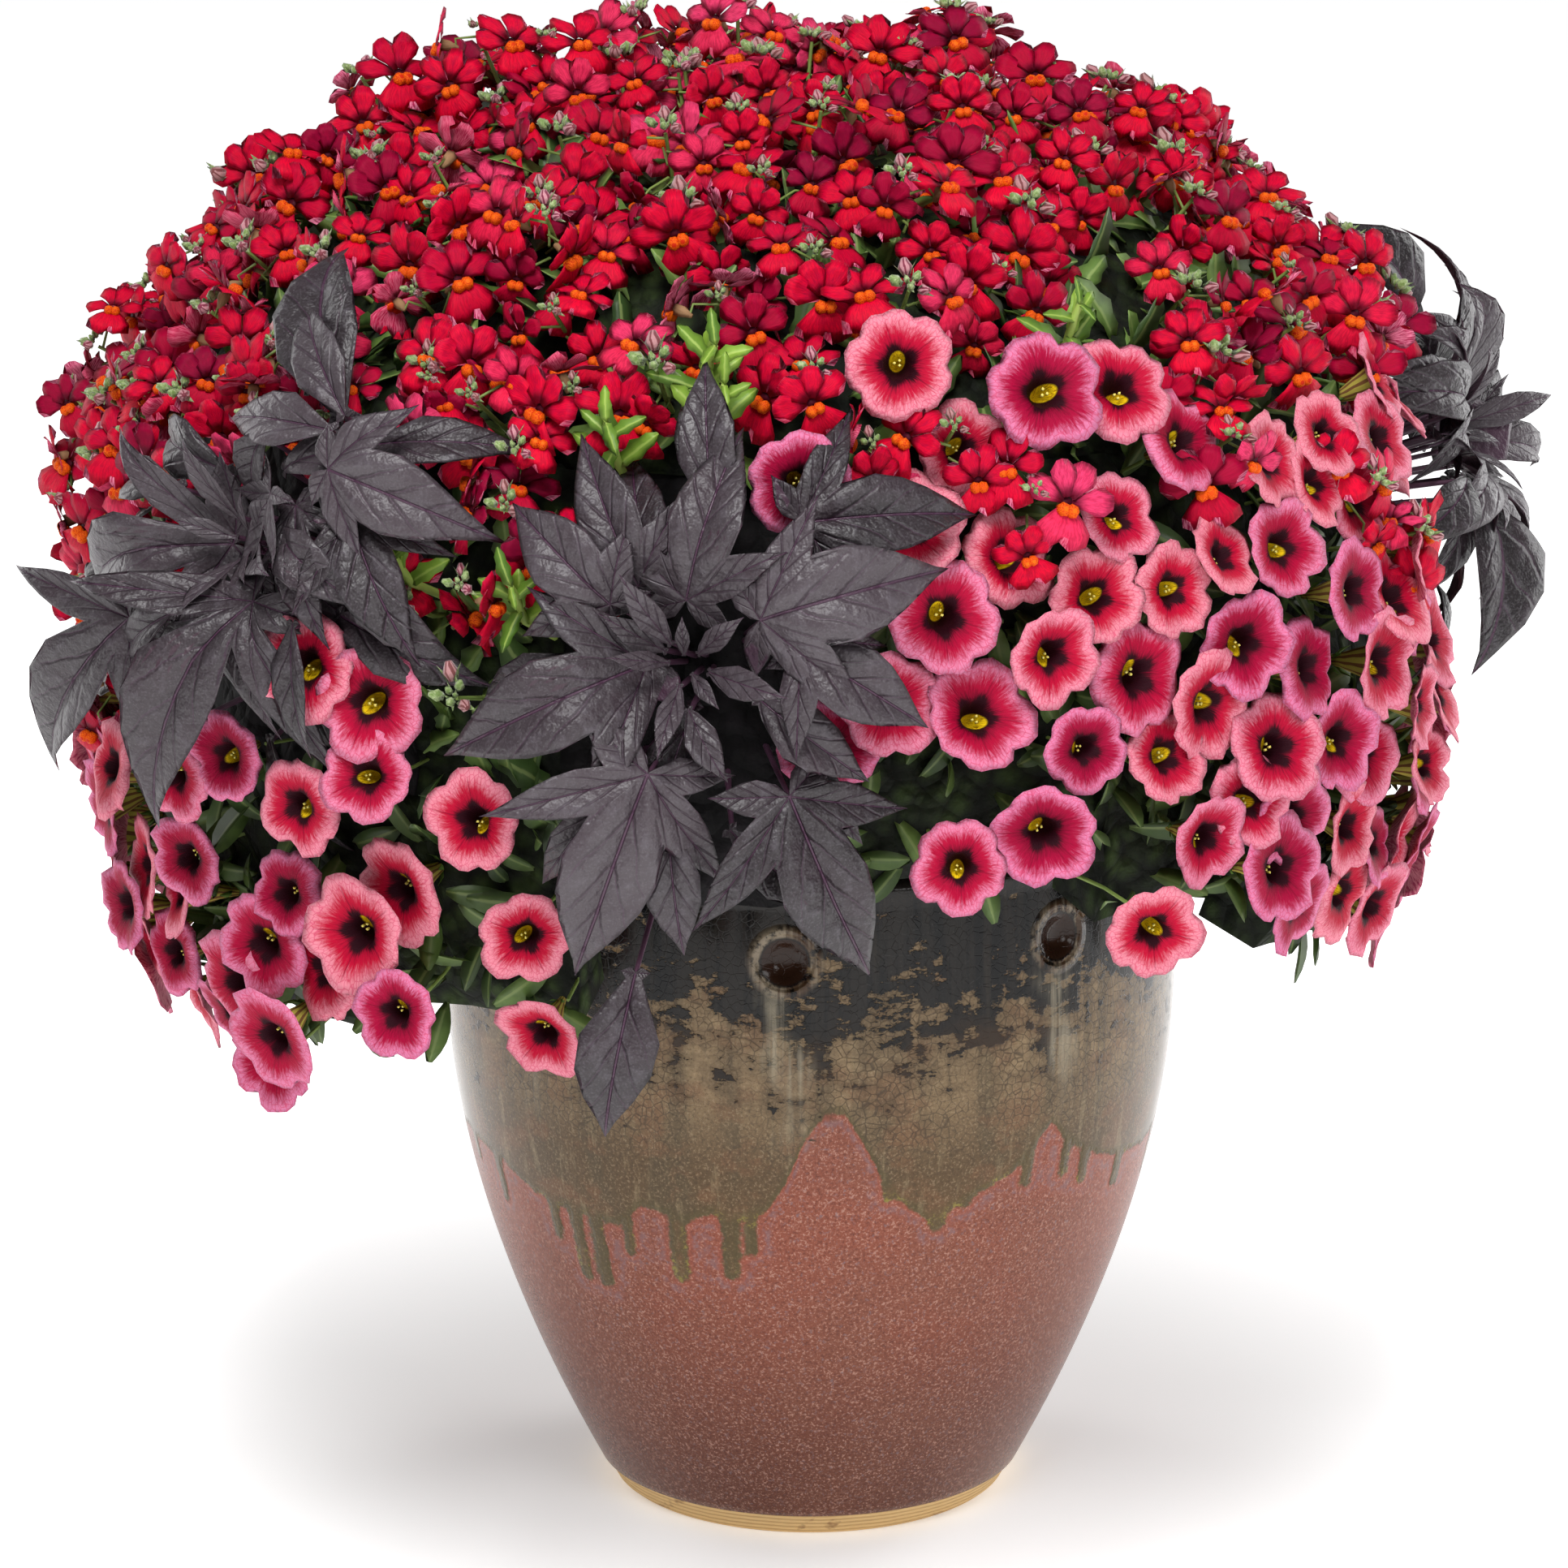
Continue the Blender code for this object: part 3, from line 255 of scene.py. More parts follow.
LEFT_LEAVES = (
    (34, 44, 327, 82, 0.8, 0, False),
    (48, 38, 76, 48, 0.85, 0, False),
    (48, -2, 128, 48, 0.85, 0, False),
    (-25, -28, 238, 40, 0.8, 0, False),
    (20, 50, 323, 42, 0.75, 1, False),
    (-11, 20, 281, 52, 0.85, 1, False),
    (-49, -33, 224, 92, 0.66, 0, True),
    (50, 14, 151, 50, 0.9, 1, True),
    (-26, 12, 268, 48, 0.75, 2, False),
    (-12, -2, 250, 80, 0.66, 2, True),
    (39, 44, 318, 50, 0.8, 2, False),
    (39, 38, 273, 53, 0.8, 3, False),
    (14, 33, 221, 30, 0.9, 3, False),
    (15, -18, 208, 92, 0.68, 3, True),
    (18, 16, 213, 42, 0.9, 4, True),
    (44, 26, 102, 54, 1.05, 4, True),
    (22, 6, 118, 44, 0.85, 3, False),
    (20, 24, 64, 40, 0.85, 2, False),
    (28, 14, 160, 46, 0.75, 2, True),
    (6, -16, 168, 50, 0.8, 1, False),
    (34, -22, 176, 44, 0.8, 1, False),
)
# How far out the vines' leaves lie near the growing tip and where they spread, the stretch over which they
# rise, and how far each layer lies over the next
LEAF_LOW = 0.2500
LEAF_HIGH = 0.2755
LEAF_RISE = 0.040
LEAF_LAYER_STEP = 0.0036
# Leaves in layers above this one are the young ones round the tip, which stand up
YOUNG_LAYER = 4.5
LEAF_TIP_DROOP = 0.003
LEAF_THICKNESS = 0.0005
# Past this polar angle the leaves hang straight down
HANG_POLAR = 95.0


# Places on the mound


def direction(azimuth, polar):
    """Unit vector from the mound's centre."""
    a, p = math.radians(azimuth), math.radians(polar)
    return Vector((math.sin(p) * math.sin(a), -math.sin(p) * math.cos(a), math.cos(p)))


def angles_of(outward):
    """Azimuth from 0 to 360, and polar angle, of a direction."""
    polar = math.degrees(math.acos(max(-1.0, min(1.0, outward.z))))
    return math.degrees(math.atan2(outward.x, -outward.y)) % 360, polar


def place(outward, distance):
    """The point of the mound in a direction, at a distance given for the mound's sides."""
    if outward.z <= 0:
        return MOUND + outward * distance
    power = MOUND_SHOULDER_POWER
    level = math.hypot(outward.x, outward.y)
    reach = (level**power + (outward.z / MOUND_TOP_SHARE) ** power) ** (-1 / power)
    return MOUND + outward * distance * reach


def tangents(outward):
    """Up and right along the mound's surface, as seen from outside. At the very top, up is to the back."""
    if outward.z > 0.9999:
        return Vector((0, 1, 0)), Vector((1, 0, 0))
    up = (UP - outward * outward.z).normalized()
    return up, up.cross(outward)


def stepped(outward, bearing, angle):
    """The direction reached by a turn of angle along a bearing, clockwise from up, in radians."""
    up, right = tangents(outward)
    along = up * math.cos(bearing) + right * math.sin(bearing)
    return outward * math.cos(angle) + along * math.sin(angle)


def in_cell(outward, cell, margin=0.0):
    azimuth, polar = angles_of(outward)
    azimuth_0, azimuth_1, polar_0, polar_1 = cell
    turned_by = (azimuth - azimuth_0 - margin) % 360
    across = turned_by <= azimuth_1 - azimuth_0 - 2 * margin
    return across and polar_0 + margin <= polar <= polar_1 - margin


def smooth(value, low=0.0, high=1.0):
    share = min(1.0, max(0.0, (value - low) / (high - low)))
    return share * share * (3 - 2 * share)


# Node trees


class Socket:
    """A socket of a shader tree that takes part in sums."""

    def __init__(self, tree, socket):
        self.tree, self.socket = tree, socket

    def maths(self, operation, *others):
        values = dict(enumerate((self, *others)))
        return self.tree.node("ShaderNodeMath", {"operation": operation}, values)

    def __add__(self, other):
        return self.maths("ADD", other)

    __radd__ = __add__

    def __mul__(self, other):
        return self.maths("MULTIPLY", other)

    __rmul__ = __mul__

    def __sub__(self, other):
        return self.maths("SUBTRACT", other)

    def __rsub__(self, other):
        return self.tree.node("ShaderNodeMath", {"operation": "SUBTRACT"}, {0: other, 1: self})

    def __abs__(self):
        return self.maths("ABSOLUTE")

    def step(self, low, high):
        """0 below low and 1 above high, and smooth between. With low above high it falls."""
        settings = {"interpolation_type": "SMOOTHSTEP"}
        if low < high:
            return self.tree.node("ShaderNodeMapRange", settings, {0: self, 1: low, 2: high, 3: 0.0, 4: 1.0})
        return self.tree.node("ShaderNodeMapRange", settings, {0: self, 1: high, 2: low, 3: 1.0, 4: 0.0})


class Tree:
    """A node tree with one method that makes its nodes."""

    def __init__(self, tree):
        self.tree = tree

    def node(self, kind, settings=None, sockets=None, output=0):
        """A node with its settings, then its sockets' values or links. Gives one of its outputs."""
        made = self.tree.nodes.new(kind)
        for name, value in (settings or {}).items():
            setattr(made, name, value)
        for key, value in (sockets or {}).items():
            if isinstance(value, Socket):
                self.tree.links.new(value.socket, made.inputs[key])
            else:
                made.inputs[key].default_value = value
        return Socket(self, made.outputs[output])


class Finish(Tree):
    """A material's tree, with the nodes that the finishes here use."""

    def __init__(self, name, roughness=0.5, **constants):
        self.material = bpy.data.materials.new(name)
        self.material.use_nodes = True
        super().__init__(self.material.node_tree)
        self.shader = self.tree.nodes["Principled BSDF"]
        self.shader.inputs["Roughness"].default_value = roughness
        for socket, value in constants.items():
            self.shader.inputs[socket.replace("_", " ")].default_value = value

    def point(self):
        return self.node("ShaderNodeTexCoord", output="Object")

    def parts(self, vector):
        split = self.node("ShaderNodeSeparateXYZ", {}, {0: vector})
        return [Socket(self, split.socket.node.outputs[k]) for k in range(3)]

    def vector(self, x=0.0, y=0.0, z=0.0):
        return self.node("ShaderNodeCombineXYZ", {}, {0: x, 1: y, 2: z})

    def attribute(self, name):
        return self.node("ShaderNodeAttribute", {"attribute_name": name}, output="Fac")

    def uv(self, name):
        return self.parts(self.node("ShaderNodeUVMap", {"uv_map": name}))[:2]

    def noise(self, vector, scale, detail=2.0, roughness=0.5):
        sockets = {"Vector": vector, "Scale": scale, "Detail": detail, "Roughness": roughness}
        return self.node("ShaderNodeTexNoise", {}, sockets)

    def cells(self, vector, scale, feature="DISTANCE_TO_EDGE"):
        return self.node("ShaderNodeTexVoronoi", {"feature": feature}, {"Vector": vector, "Scale": scale})

    def mix(self, share, first, second):
        """A colour between two others, each a socket or red, green and blue from 0 to 255."""
        sockets = {0: share}
        for key, colour in ((6, first), (7, second)):
            sockets[key] = colour if isinstance(colour, Socket) else (*linear(colour), 1.0)
        return self.node("ShaderNodeMix", {"data_type": "RGBA"}, sockets, output=2)

    def bump(self, height, strength, distance):
        return self.node("ShaderNodeBump", {}, {"Strength": strength, "Distance": distance, "Height": height})

    def done(self, base, roughness=None, normal=None):
        for name, value in (("Base Color", base), ("Roughness", roughness), ("Normal", normal)):
            if value is not None:
                self.tree.links.new(value.socket, self.shader.inputs[name])
        return self.material


def linear(colour):
    """A colour given as 0 to 255, in the linear values that a shader takes."""
    shares = [value / 255 for value in colour]
    return tuple(((s + 0.055) / 1.055) ** 2.4 if s > 0.04 else s / 12.92 for s in shares)


# Finishes


def petal_parts(finish):
    """Place along and across a petal, and a mask for each part of a bloom, from its map."""
    along, across = finish.uv("petal")
    masks = [
        along.step(1.4, 1.5) * along.step(3.5, 3.4),
        along.step(3.4, 3.5) * along.step(5.5, 5.4),
        along.step(5.4, 5.5) * along.step(7.5, 7.4),
        along.step(7.4, 7.5),
    ]
    return along, across, masks


def make_nemesia_petal():
    """Scarlet with a dark veined base, orange palate and mauve backs."""
    f = Finish("nemesia_petal", 0.6, Specular_IOR_Level=0.10)
    along, across, (back, palate, tube, lip) = petal_parts(f)
    tint = f.attribute("tint")
    place_on = f.vector(along * 1.4, across * 9.0, tint * 31.0)
    veins = f.noise(place_on, 3.0, 3.0, 0.6)
    mottle = f.noise(f.vector(along, across, tint * 57.0), 4.5, 2.0)
    red = f.mix(tint.step(0.04, 0.46), (128, 0, 46), (206, 0, 46))
    red = f.mix(tint.step(0.82, 0.98), red, (222, 58, 104))
    red = f.mix(mottle.step(0.42, 0.78) * 0.6, red, (156, 0, 52))
    red = f.mix(lip * 0.4, red, (218, 4, 42))
    red = f.mix(veins.step(0.56, 0.42) * 0.35, red, (124, 0, 34))
    edge = f.noise(f.vector(along * 3.0, across * 16.0, tint * 19.0), 4.0, 2.0)
    local = along.maths("MODULO", 2.0)
    red = f.mix(local.step(0.90, 1.02) * edge.step(0.52, 0.74) * 0.5, red, (240, 120, 146))
    dark = local.step(0.40, 0.12) * (1 - lip)
    red = f.mix(dark * 0.7, red, (84, 10, 36))
    stripes = f.noise(f.vector(along * 1.2, across * 15.0, tint * 11.0), 3.0, 2.0)
    mauve = f.mix(stripes.step(0.42, 0.6), (220, 124, 152), (160, 26, 72))
    mauve = f.mix(tint.step(0.3, 0.8) * 0.5, mauve, (188, 18, 60))
    colour = f.mix(back, red, mauve)
    fleck = f.noise(f.vector(along * 6.0, across * 9.0, tint * 23.0), 3.0, 2.0)
    orange = f.mix(fleck.step(0.44, 0.60), (226, 98, 14), (190, 38, 10))
    colour = f.mix(palate, colour, orange)
    throat = f.mix(along.step(6.5, 6.72), (150, 116, 84), (64, 8, 26))
    colour = f.mix(tube, colour, throat)
    return f.done(colour, normal=f.bump(veins, 0.4, 0.0008))


def make_calibrachoa_petal():
    """Pale rim, crimson middle and near-black star, with netted veins and a yellow throat."""
    f = Finish("calibrachoa_petal", 0.6, Specular_IOR_Level=0.10)
    along, across, (back, tube, sepal, stamen) = petal_parts(f)
    tint = f.attribute("tint")
    radius = along.maths("MODULO", 2.0)
    turn = across * math.tau
    cosine, sine = turn.maths("COSINE"), turn.maths("SINE")
    ring = f.vector(cosine * 3.4, sine * 3.4, radius * 0.9 + tint * 17.0)
    veins = f.noise(ring, 5.0, 4.0, 0.65)
    net = f.cells(f.vector(cosine * 2.8, sine * 2.8, radius * 1.9 + tint * 9.0), 4.2)
    star = (across * (5 * math.tau)).maths("COSINE") * 0.5 + 0.5
    wobble = (veins - 0.5) * 0.6
    pale = f.mix(tint.step(0.25, 0.75), (216, 130, 146), (206, 116, 154))
    pale = f.mix(net.step(0.10, 0.0) * 0.7, pale, (196, 60, 96))
    crimson = f.mix(tint.step(0.2, 0.9), (176, 6, 46), (150, 2, 50))
    reach = radius + wobble - star * 0.06 - (tint - 0.5) * 0.12
    colour = f.mix(reach.step(0.52, 0.86), crimson, pale)
    wine = reach.step(0.52, 0.26)
    colour = f.mix(wine * 0.8, colour, (104, 0, 32))
    midline = abs((across * (2.5 * math.tau)).maths("SINE")) * radius
    line = midline.step(0.045, 0.010) * radius.step(0.96, 0.60)
    colour = f.mix(line * 0.6, colour, (110, 0, 34))
    centre = (radius + wobble * 0.35 - star * 0.10).step(0.36, 0.24)
    colour = f.mix(centre, colour, (40, 4, 16))
    low_x = cosine * radius
    low_y = sine * radius + 0.10
    patch = (low_x * low_x * 1.3 + low_y * low_y).maths("SQRT")
    gold = f.mix(net.step(0.10, 0.03), (246, 206, 24), (176, 128, 10))
    colour = f.mix(patch.step(0.175, 0.145), colour, gold)
    mauve = f.mix(veins.step(0.45, 0.6), (214, 128, 146), (176, 62, 98))
    mauve = f.mix(radius.step(0.5, 0.1) * 0.6, mauve, (170, 150, 70))
    colour = f.mix(back, colour, mauve)
    stripe = (across * (10 * math.tau)).maths("SINE").step(0.1, 0.6)
    striped = f.mix(stripe * 0.8, (178, 164, 74), (96, 22, 40))
    colour = f.mix(tube, colour, striped)
    colour = f.mix(sepal, colour, (92, 122, 52))
    colour = f.mix(stamen, colour, (232, 214, 110))
    return f.done(colour, normal=f.bump(veins + net * 0.6, 0.5, 0.0010))


def make_vine_leaf():
    """Charcoal purple with a grey sheen, partly painted as paler grey, thin purple veins and burgundy
    undersides.
    """
    f = Finish("vine_leaf", 0.36, Specular_IOR_Level=0.42)
    along, across = f.uv("blade")
    tint = f.attribute("tint")
    under = along.step(3.4, 3.5)
    local = along.maths("MODULO", 4.0)
    side = abs(across)
    point = f.point()
    blotch = f.noise(point, 42.0, 3.0)
    pucker_and_sheen = f.noise(point, 150.0, 3.0, 0.6)
    grain = f.noise(point, 1300.0, 2.0)
    rib = side.step(0.045, 0.015)
    bend = local * 4.6 - side * 1.7 + (blotch - 0.5) * 0.9
    vein = abs((bend * math.pi).maths("SINE"))
    line = vein.step(0.12, 0.02) * side.step(0.98, 0.6)
    # Painted shade: the tint darkens leaves in lower layers, as if shaded by those above, with a random tone
    # on top
    colour = f.mix(tint, (26, 21, 23), (69, 61, 66))
    colour = f.mix(blotch.step(0.42, 0.68) * 0.5, colour, (50, 36, 44))
    # Painted sheen: paler grey on the raised puckers and the fine grain, besides the real gloss
    colour = f.mix(pucker_and_sheen.step(0.5, 0.75) * 0.25, colour, (104, 98, 106))
    colour = f.mix(grain.step(0.5, 0.7) * 0.2, colour, (112, 106, 114))
    colour = f.mix(line * 0.5, colour, (58, 26, 52))
    colour = f.mix(rib * 0.7, colour, (70, 34, 62))
    edge = side.step(0.93, 1.0)
    colour = f.mix(edge * 0.6, colour, (66, 32, 56))
    colour = f.mix(under * 0.85, colour, (60, 42, 52))
    height = vein.step(0.0, 0.45) * 0.6 * side.step(1.0, 0.5) + pucker_and_sheen * 1.8 + grain * 0.05 - rib * 0.7
    roughness = 0.27 + blotch * 0.2 + pucker_and_sheen * 0.14
    return f.done(colour, roughness, f.bump(height, 0.7, 0.0014))


def leafy(name, dark, light, rib_colour, roughness=0.5):
    """A green leaf, with a paler midrib and its own shade of green."""
    f = Finish(name, roughness, Specular_IOR_Level=0.35)
    along, across = f.uv("blade")
    tint = f.attribute("tint")
    side = abs(across)
    mottle = f.noise(f.point(), 160.0, 3.0)
    colour = f.mix(tint, dark, light)
    colour = f.mix(mottle.step(0.35, 0.7) * 0.4, colour, dark)
    colour = f.mix(side.step(0.22, 0.06) * 0.5, colour, rib_colour)
    colour = f.mix(along.step(0.25, 0.0) * 0.35, colour, rib_colour)
    return f.done(colour, normal=f.bump(mottle, 0.3, 0.0008))


def make_stem_green():
    f = Finish("stem_green", 0.5, Specular_IOR_Level=0.35)
    point = f.point()
    mottle = f.noise(point, 90.0, 2.0)
    colour = f.mix(mottle, (84, 110, 48), (140, 158, 84))
    return f.done(colour, normal=f.bump(f.noise(point, 900.0), 0.3, 0.0004))


def make_vine_stem():
    f = Finish("vine_stem", 0.45, Specular_IOR_Level=0.4)
    colour = f.mix(f.noise(f.point(), 80.0), (58, 36, 52), (96, 62, 84))
    return f.done(colour, normal=f.bump(f.noise(f.point(), 700.0), 0.3, 0.0004))


def make_bud():
    """Downy pale green, with the pink stripes of the petals in the larger buds."""
    f = Finish("nemesia_bud", 0.6, Sheen_Weight=0.3, Specular_IOR_Level=0.25)
    along, across = f.uv("blade")
    tint = f.attribute("tint")
    down = f.noise(f.point(), 700.0, 3.0, 0.7)
    colour = f.mix(down.step(0.4, 0.7), (112, 136, 72), (176, 190, 140))
    stripe = (across * 40.0).maths("SINE").step(-0.2, 0.6)
    pink = f.mix(stripe, (190, 130, 140), (120, 30, 60))
    colour = f.mix(along.step(1.4, 1.5), colour, pink)
    colour = f.mix(tint * 0.25, colour, (80, 104, 44))
    return f.done(colour, normal=f.bump(down, 0.6, 0.0008))


def make_painted_shade_core(name, dark, light):
    """Painted shade: a dark stand-in for the shaded tangle of small leaves and stems under the flowers."""
    f = Finish(name, 0.8, Specular_IOR_Level=0.2)
    point = f.point()
    leaves = f.cells(point, 120.0, "F1")
    tangle = f.noise(point, 70.0, 4.0, 0.6)
    # Painted shade: each small cell light in its middle and dark towards its edges, and dark patches over it
    colour = f.mix(leaves.step(0.1, 0.8), light, dark)
    colour = f.mix(tangle.step(0.4, 0.62) * 0.8, colour, dark)
    return f.done(colour, normal=f.bump(leaves * -1.0 + tangle, 1.0, 0.004))


def make_soil():
    f = Finish("potting_mix", 0.95, Specular_IOR_Level=0.1)
    point = f.point()
    crumb = f.noise(point, 260.0, 5.0, 0.7)
    colour = f.mix(crumb.step(0.35, 0.7), (34, 24, 18), (78, 58, 42))
    return f.done(colour, normal=f.bump(crumb, 1.0, 0.004))


def make_glaze():
    """Blue-black glaze that runs through crackled olive-grey into speckled brick red, over a bare foot."""
    f = Finish("glaze", 0.12, Specular_IOR_Level=0.22)
    point = f.point()
    x, y, z = f.parts(point)
    inside = f.attribute("drip_edge")
    runs = f.attribute("runs")
    gap = f.attribute("dimple")
    streak = f.noise(f.vector(x, y, z * 0.05), 58.0, 4.0, 0.6)
    fine_streak = f.noise(f.vector(x, y, z * 0.045), 230.0, 3.0, 0.65)
    cloud = f.noise(f.vector(x, y, z * 0.8), 20.0, 4.0, 0.6)
    blotch = f.noise(f.vector(x, y, z * 2.1), 62.0, 6.0, 0.68)
    patch = f.noise(f.vector(x, y, z * 1.4), 46.0, 4.0, 0.6)
    grain = f.noise(point, 950.0, 2.0, 0.7)
    fleck = f.noise(point, 560.0, 3.0, 0.75)
    ragged = f.noise(point, 240.0, 4.0, 0.7)
    edge = inside + (ragged - 0.5) * 0.0050

    # Brick red, palest and most speckled just under the runs
    near = edge.step(-0.075, -0.004)
    red = f.mix(z.step(0.150, 0.020), (134, 72, 54), (98, 56, 42))
    red = f.mix(cloud.step(0.42, 0.66) * 0.45, red, (114, 70, 54))
    red = f.mix(grain.step(0.54, 0.66) * (near * 0.40 + 0.20), red, (188, 146, 130))
    red = f.mix(grain.step(0.45, 0.36) * 0.5, red, (72, 36, 32))
    red = f.mix(fleck.step(0.58, 0.68) * (near * 0.35 + 0.28), red, (118, 104, 110))
    red = f.mix(fleck.step(0.28, 0.22) * 0.7, red, (48, 40, 42))
    warm = edge.step(-0.010, -0.001) * ragged.step(0.36, 0.56)
    red = f.mix(warm * 0.30, red, (162, 84, 66))
    lavender = edge.step(-0.0070, -0.0034) * edge.step(-0.0010, -0.0030) * ragged.step(0.44, 0.58)
    red = f.mix(lavender * 0.5, red, (112, 98, 104))

    # Olive, paler and crackled above and browner where it runs
    crackle = f.cells(f.vector(x, y + (cloud - 0.5) * 0.004, z), 300.0)
    crackled = z.step(0.150, 0.185) * cloud.step(0.30, 0.50)
    olive = f.mix(z.step(0.160, 0.208), (88, 68, 44), (136, 114, 84))
    olive = f.mix(streak.step(0.42, 0.60) * 0.6, olive, (80, 68, 48))
    olive = f.mix(patch.step(0.50, 0.64) * 0.55, olive, (112, 78, 52))
    olive = f.mix(fine_streak.step(0.54, 0.68) * 0.35, olive, (150, 132, 100))
    olive = f.mix(grain.step(0.52, 0.70) * 0.4, olive, (164, 142, 112))
    olive = f.mix(grain.step(0.44, 0.34) * 0.4, olive, (50, 40, 28))
    olive = f.mix(crackle.step(0.085, 0.01) * crackled * 0.65, olive, (46, 36, 26))
    lip = edge.step(0.0050, 0.0008)
    olive = f.mix(lip * 0.55, olive, (76, 68, 38))
    tips = edge.step(0.0024, 0.0006) * patch.step(0.54, 0.60) * fleck.step(0.48, 0.60)
    olive = f.mix(tips * 0.6, olive, (150, 138, 60))

    # Blue-black above, breaking up into dark brown patches
    night = f.mix(fine_streak.step(0.36, 0.62), (5, 5, 7), (28, 24, 21))
    night = f.mix(streak.step(0.56, 0.74) * 0.40, night, (74, 64, 50))
    night = f.mix(grain.step(0.62, 0.74) * 0.2, night, (84, 80, 76))
    brown = f.mix(patch.step(0.4, 0.6), (20, 15, 11), (48, 34, 22))
    brown = f.mix(z.step(0.212, 0.226), brown, night)
    cover = (z - 0.2185) * 9.0 + (blotch - 0.5) * 2.1 + (streak - 0.5) * 0.8 + (fine_streak - 0.5) * 0.4
    shade = f.mix(edge.step(-0.0008, 0.0006), red, olive)
    colour = f.mix(cover.step(-0.04, 0.04), shade, brown)
    wash = cover.step(-0.50, 0.0) * 0.5 * z.step(0.172, 0.190)
    colour = f.mix(wash * (1 - cover.step(-0.04, 0.04)), colour, (66, 50, 32))
    bronze = f.mix(fine_streak.step(0.4, 0.6), (76, 56, 40), (142, 128, 108))
    ring = gap.step(0.0088, 0.0100) * gap.step(0.0150, 0.0115)
    colour = f.mix(ring * ragged.step(0.35, 0.55) * 0.8, colour, bronze)
    colour = f.mix(gap.step(0.0092, 0.0080), colour, (40, 24, 16))
    trail = runs * (fine_streak.step(0.40, 0.62) * 0.55 + 0.12)
    colour = f.mix(trail, colour, (160, 150, 128))
    foot = z.step(FOOT_HEIGHT + 0.0006, FOOT_HEIGHT - 0.0004)
    lines = (z * 3400.0 + cloud * 7.0).maths("SINE").step(0.0, 0.9)
    clay = f.mix(lines * 0.5, (224, 190, 134), (170, 128, 80))
    clay = f.mix(patch.step(0.62, 0.68) * 0.6, clay, (116, 72, 44))
    colour = f.mix(foot, colour, clay)
    roughness = edge.step(-0.004, 0.004) * -0.14 + fleck * 0.10 + 0.22 + foot * 0.45
    cracks = crackle.step(0.05, 0.0) * crackled * 0.06
    height = edge.step(-0.0016, 0.0022) + grain * 0.05 - cracks + lines * foot * 0.4
    hollow = gap.step(0.0030, 0.0098) * 1.6 + gap.step(0.0098, 0.0112) * gap.step(0.0145, 0.0118) * 1.4
    height = height + cover.step(-0.05, 0.08) * 0.25 + hollow
    return f.done(colour, roughness, f.bump(height, 0.6, 0.0011))


# Geometry trees


def geometry_tree(name, inputs):
    """A new tree that takes a geometry and the named inputs, with its sockets as a dictionary."""
    tree = Tree(bpy.data.node_groups.new(name, "GeometryNodeTree"))
    face = tree.tree.interface
    face.new_socket("Geometry", in_out="INPUT", socket_type="NodeSocketGeometry")
    for label, kind in inputs.items():
        face.new_socket(label, in_out="INPUT", socket_type="NodeSocket" + kind)
    face.new_socket("Geometry", in_out="OUTPUT", socket_type="NodeSocketGeometry")
    start = tree.tree.nodes.new("NodeGroupInput")
    given = {socket.name: Socket(tree, socket) for socket in start.outputs if socket.name}
    return tree, given


def finish_tree(tree, instances, material):
    """Ends a tree in real geometry with its material."""
    real = tree.node("GeometryNodeRealizeInstances", {}, {0: instances})
    set_material = tree.node("GeometryNodeSetMaterial", {}, {"Geometry": real, "Material": material})
    end = tree.tree.nodes.new("NodeGroupOutput")
    tree.tree.links.new(set_material.socket, end.inputs[0])
    return tree.tree


def point_value(tree, name, kind="FLOAT"):
    """A named attribute of the points."""
    return tree.node("GeometryNodeInputNamedAttribute", {"data_type": kind}, {"Name": name})


def chance_value(tree, seed):
    """A random value from -1 to 1 for each point."""
    sockets = {2: -1.0, 3: 1.0, "Seed": seed}
    return tree.node("FunctionNodeRandomValue", {"data_type": "FLOAT"}, sockets, output=1)


def shapes_on(tree, given, points, pick, turn, size):
    """One of the given shapes on each point."""
    whole = {"Collection": given["Shapes"], "Separate Children": True, "Reset Children": True}
    shapes = tree.node("GeometryNodeCollectionInfo", {}, whole)
    sockets = {"Points": points, "Instance": shapes, "Rotation": turn, "Scale": size}
    sockets |= {"Pick Instance": True, "Instance Index": pick}
    return tree.node("GeometryNodeInstanceOnPoints", {}, sockets)


def make_bloom_tree():
    """Sets a shape on each point, turned, sized and picked by the point's own attributes."""
    inputs = {"Shapes": "Collection", "Seed": "Int", "Finish": "Material"}
    tree, given = geometry_tree("blooms", {"Size": "Float", "Size Sway": "Float", **inputs})
    sway = chance_value(tree, given["Seed"]) * given["Size Sway"] + 1.0
    size = point_value(tree, "size") * given["Size"] * sway
    turn = point_value(tree, "turn", "FLOAT_VECTOR")
    blooms = shapes_on(tree, given, given["Geometry"], point_value(tree, "pick", "INT"), turn, size)
    return finish_tree(tree, blooms, given["Finish"])


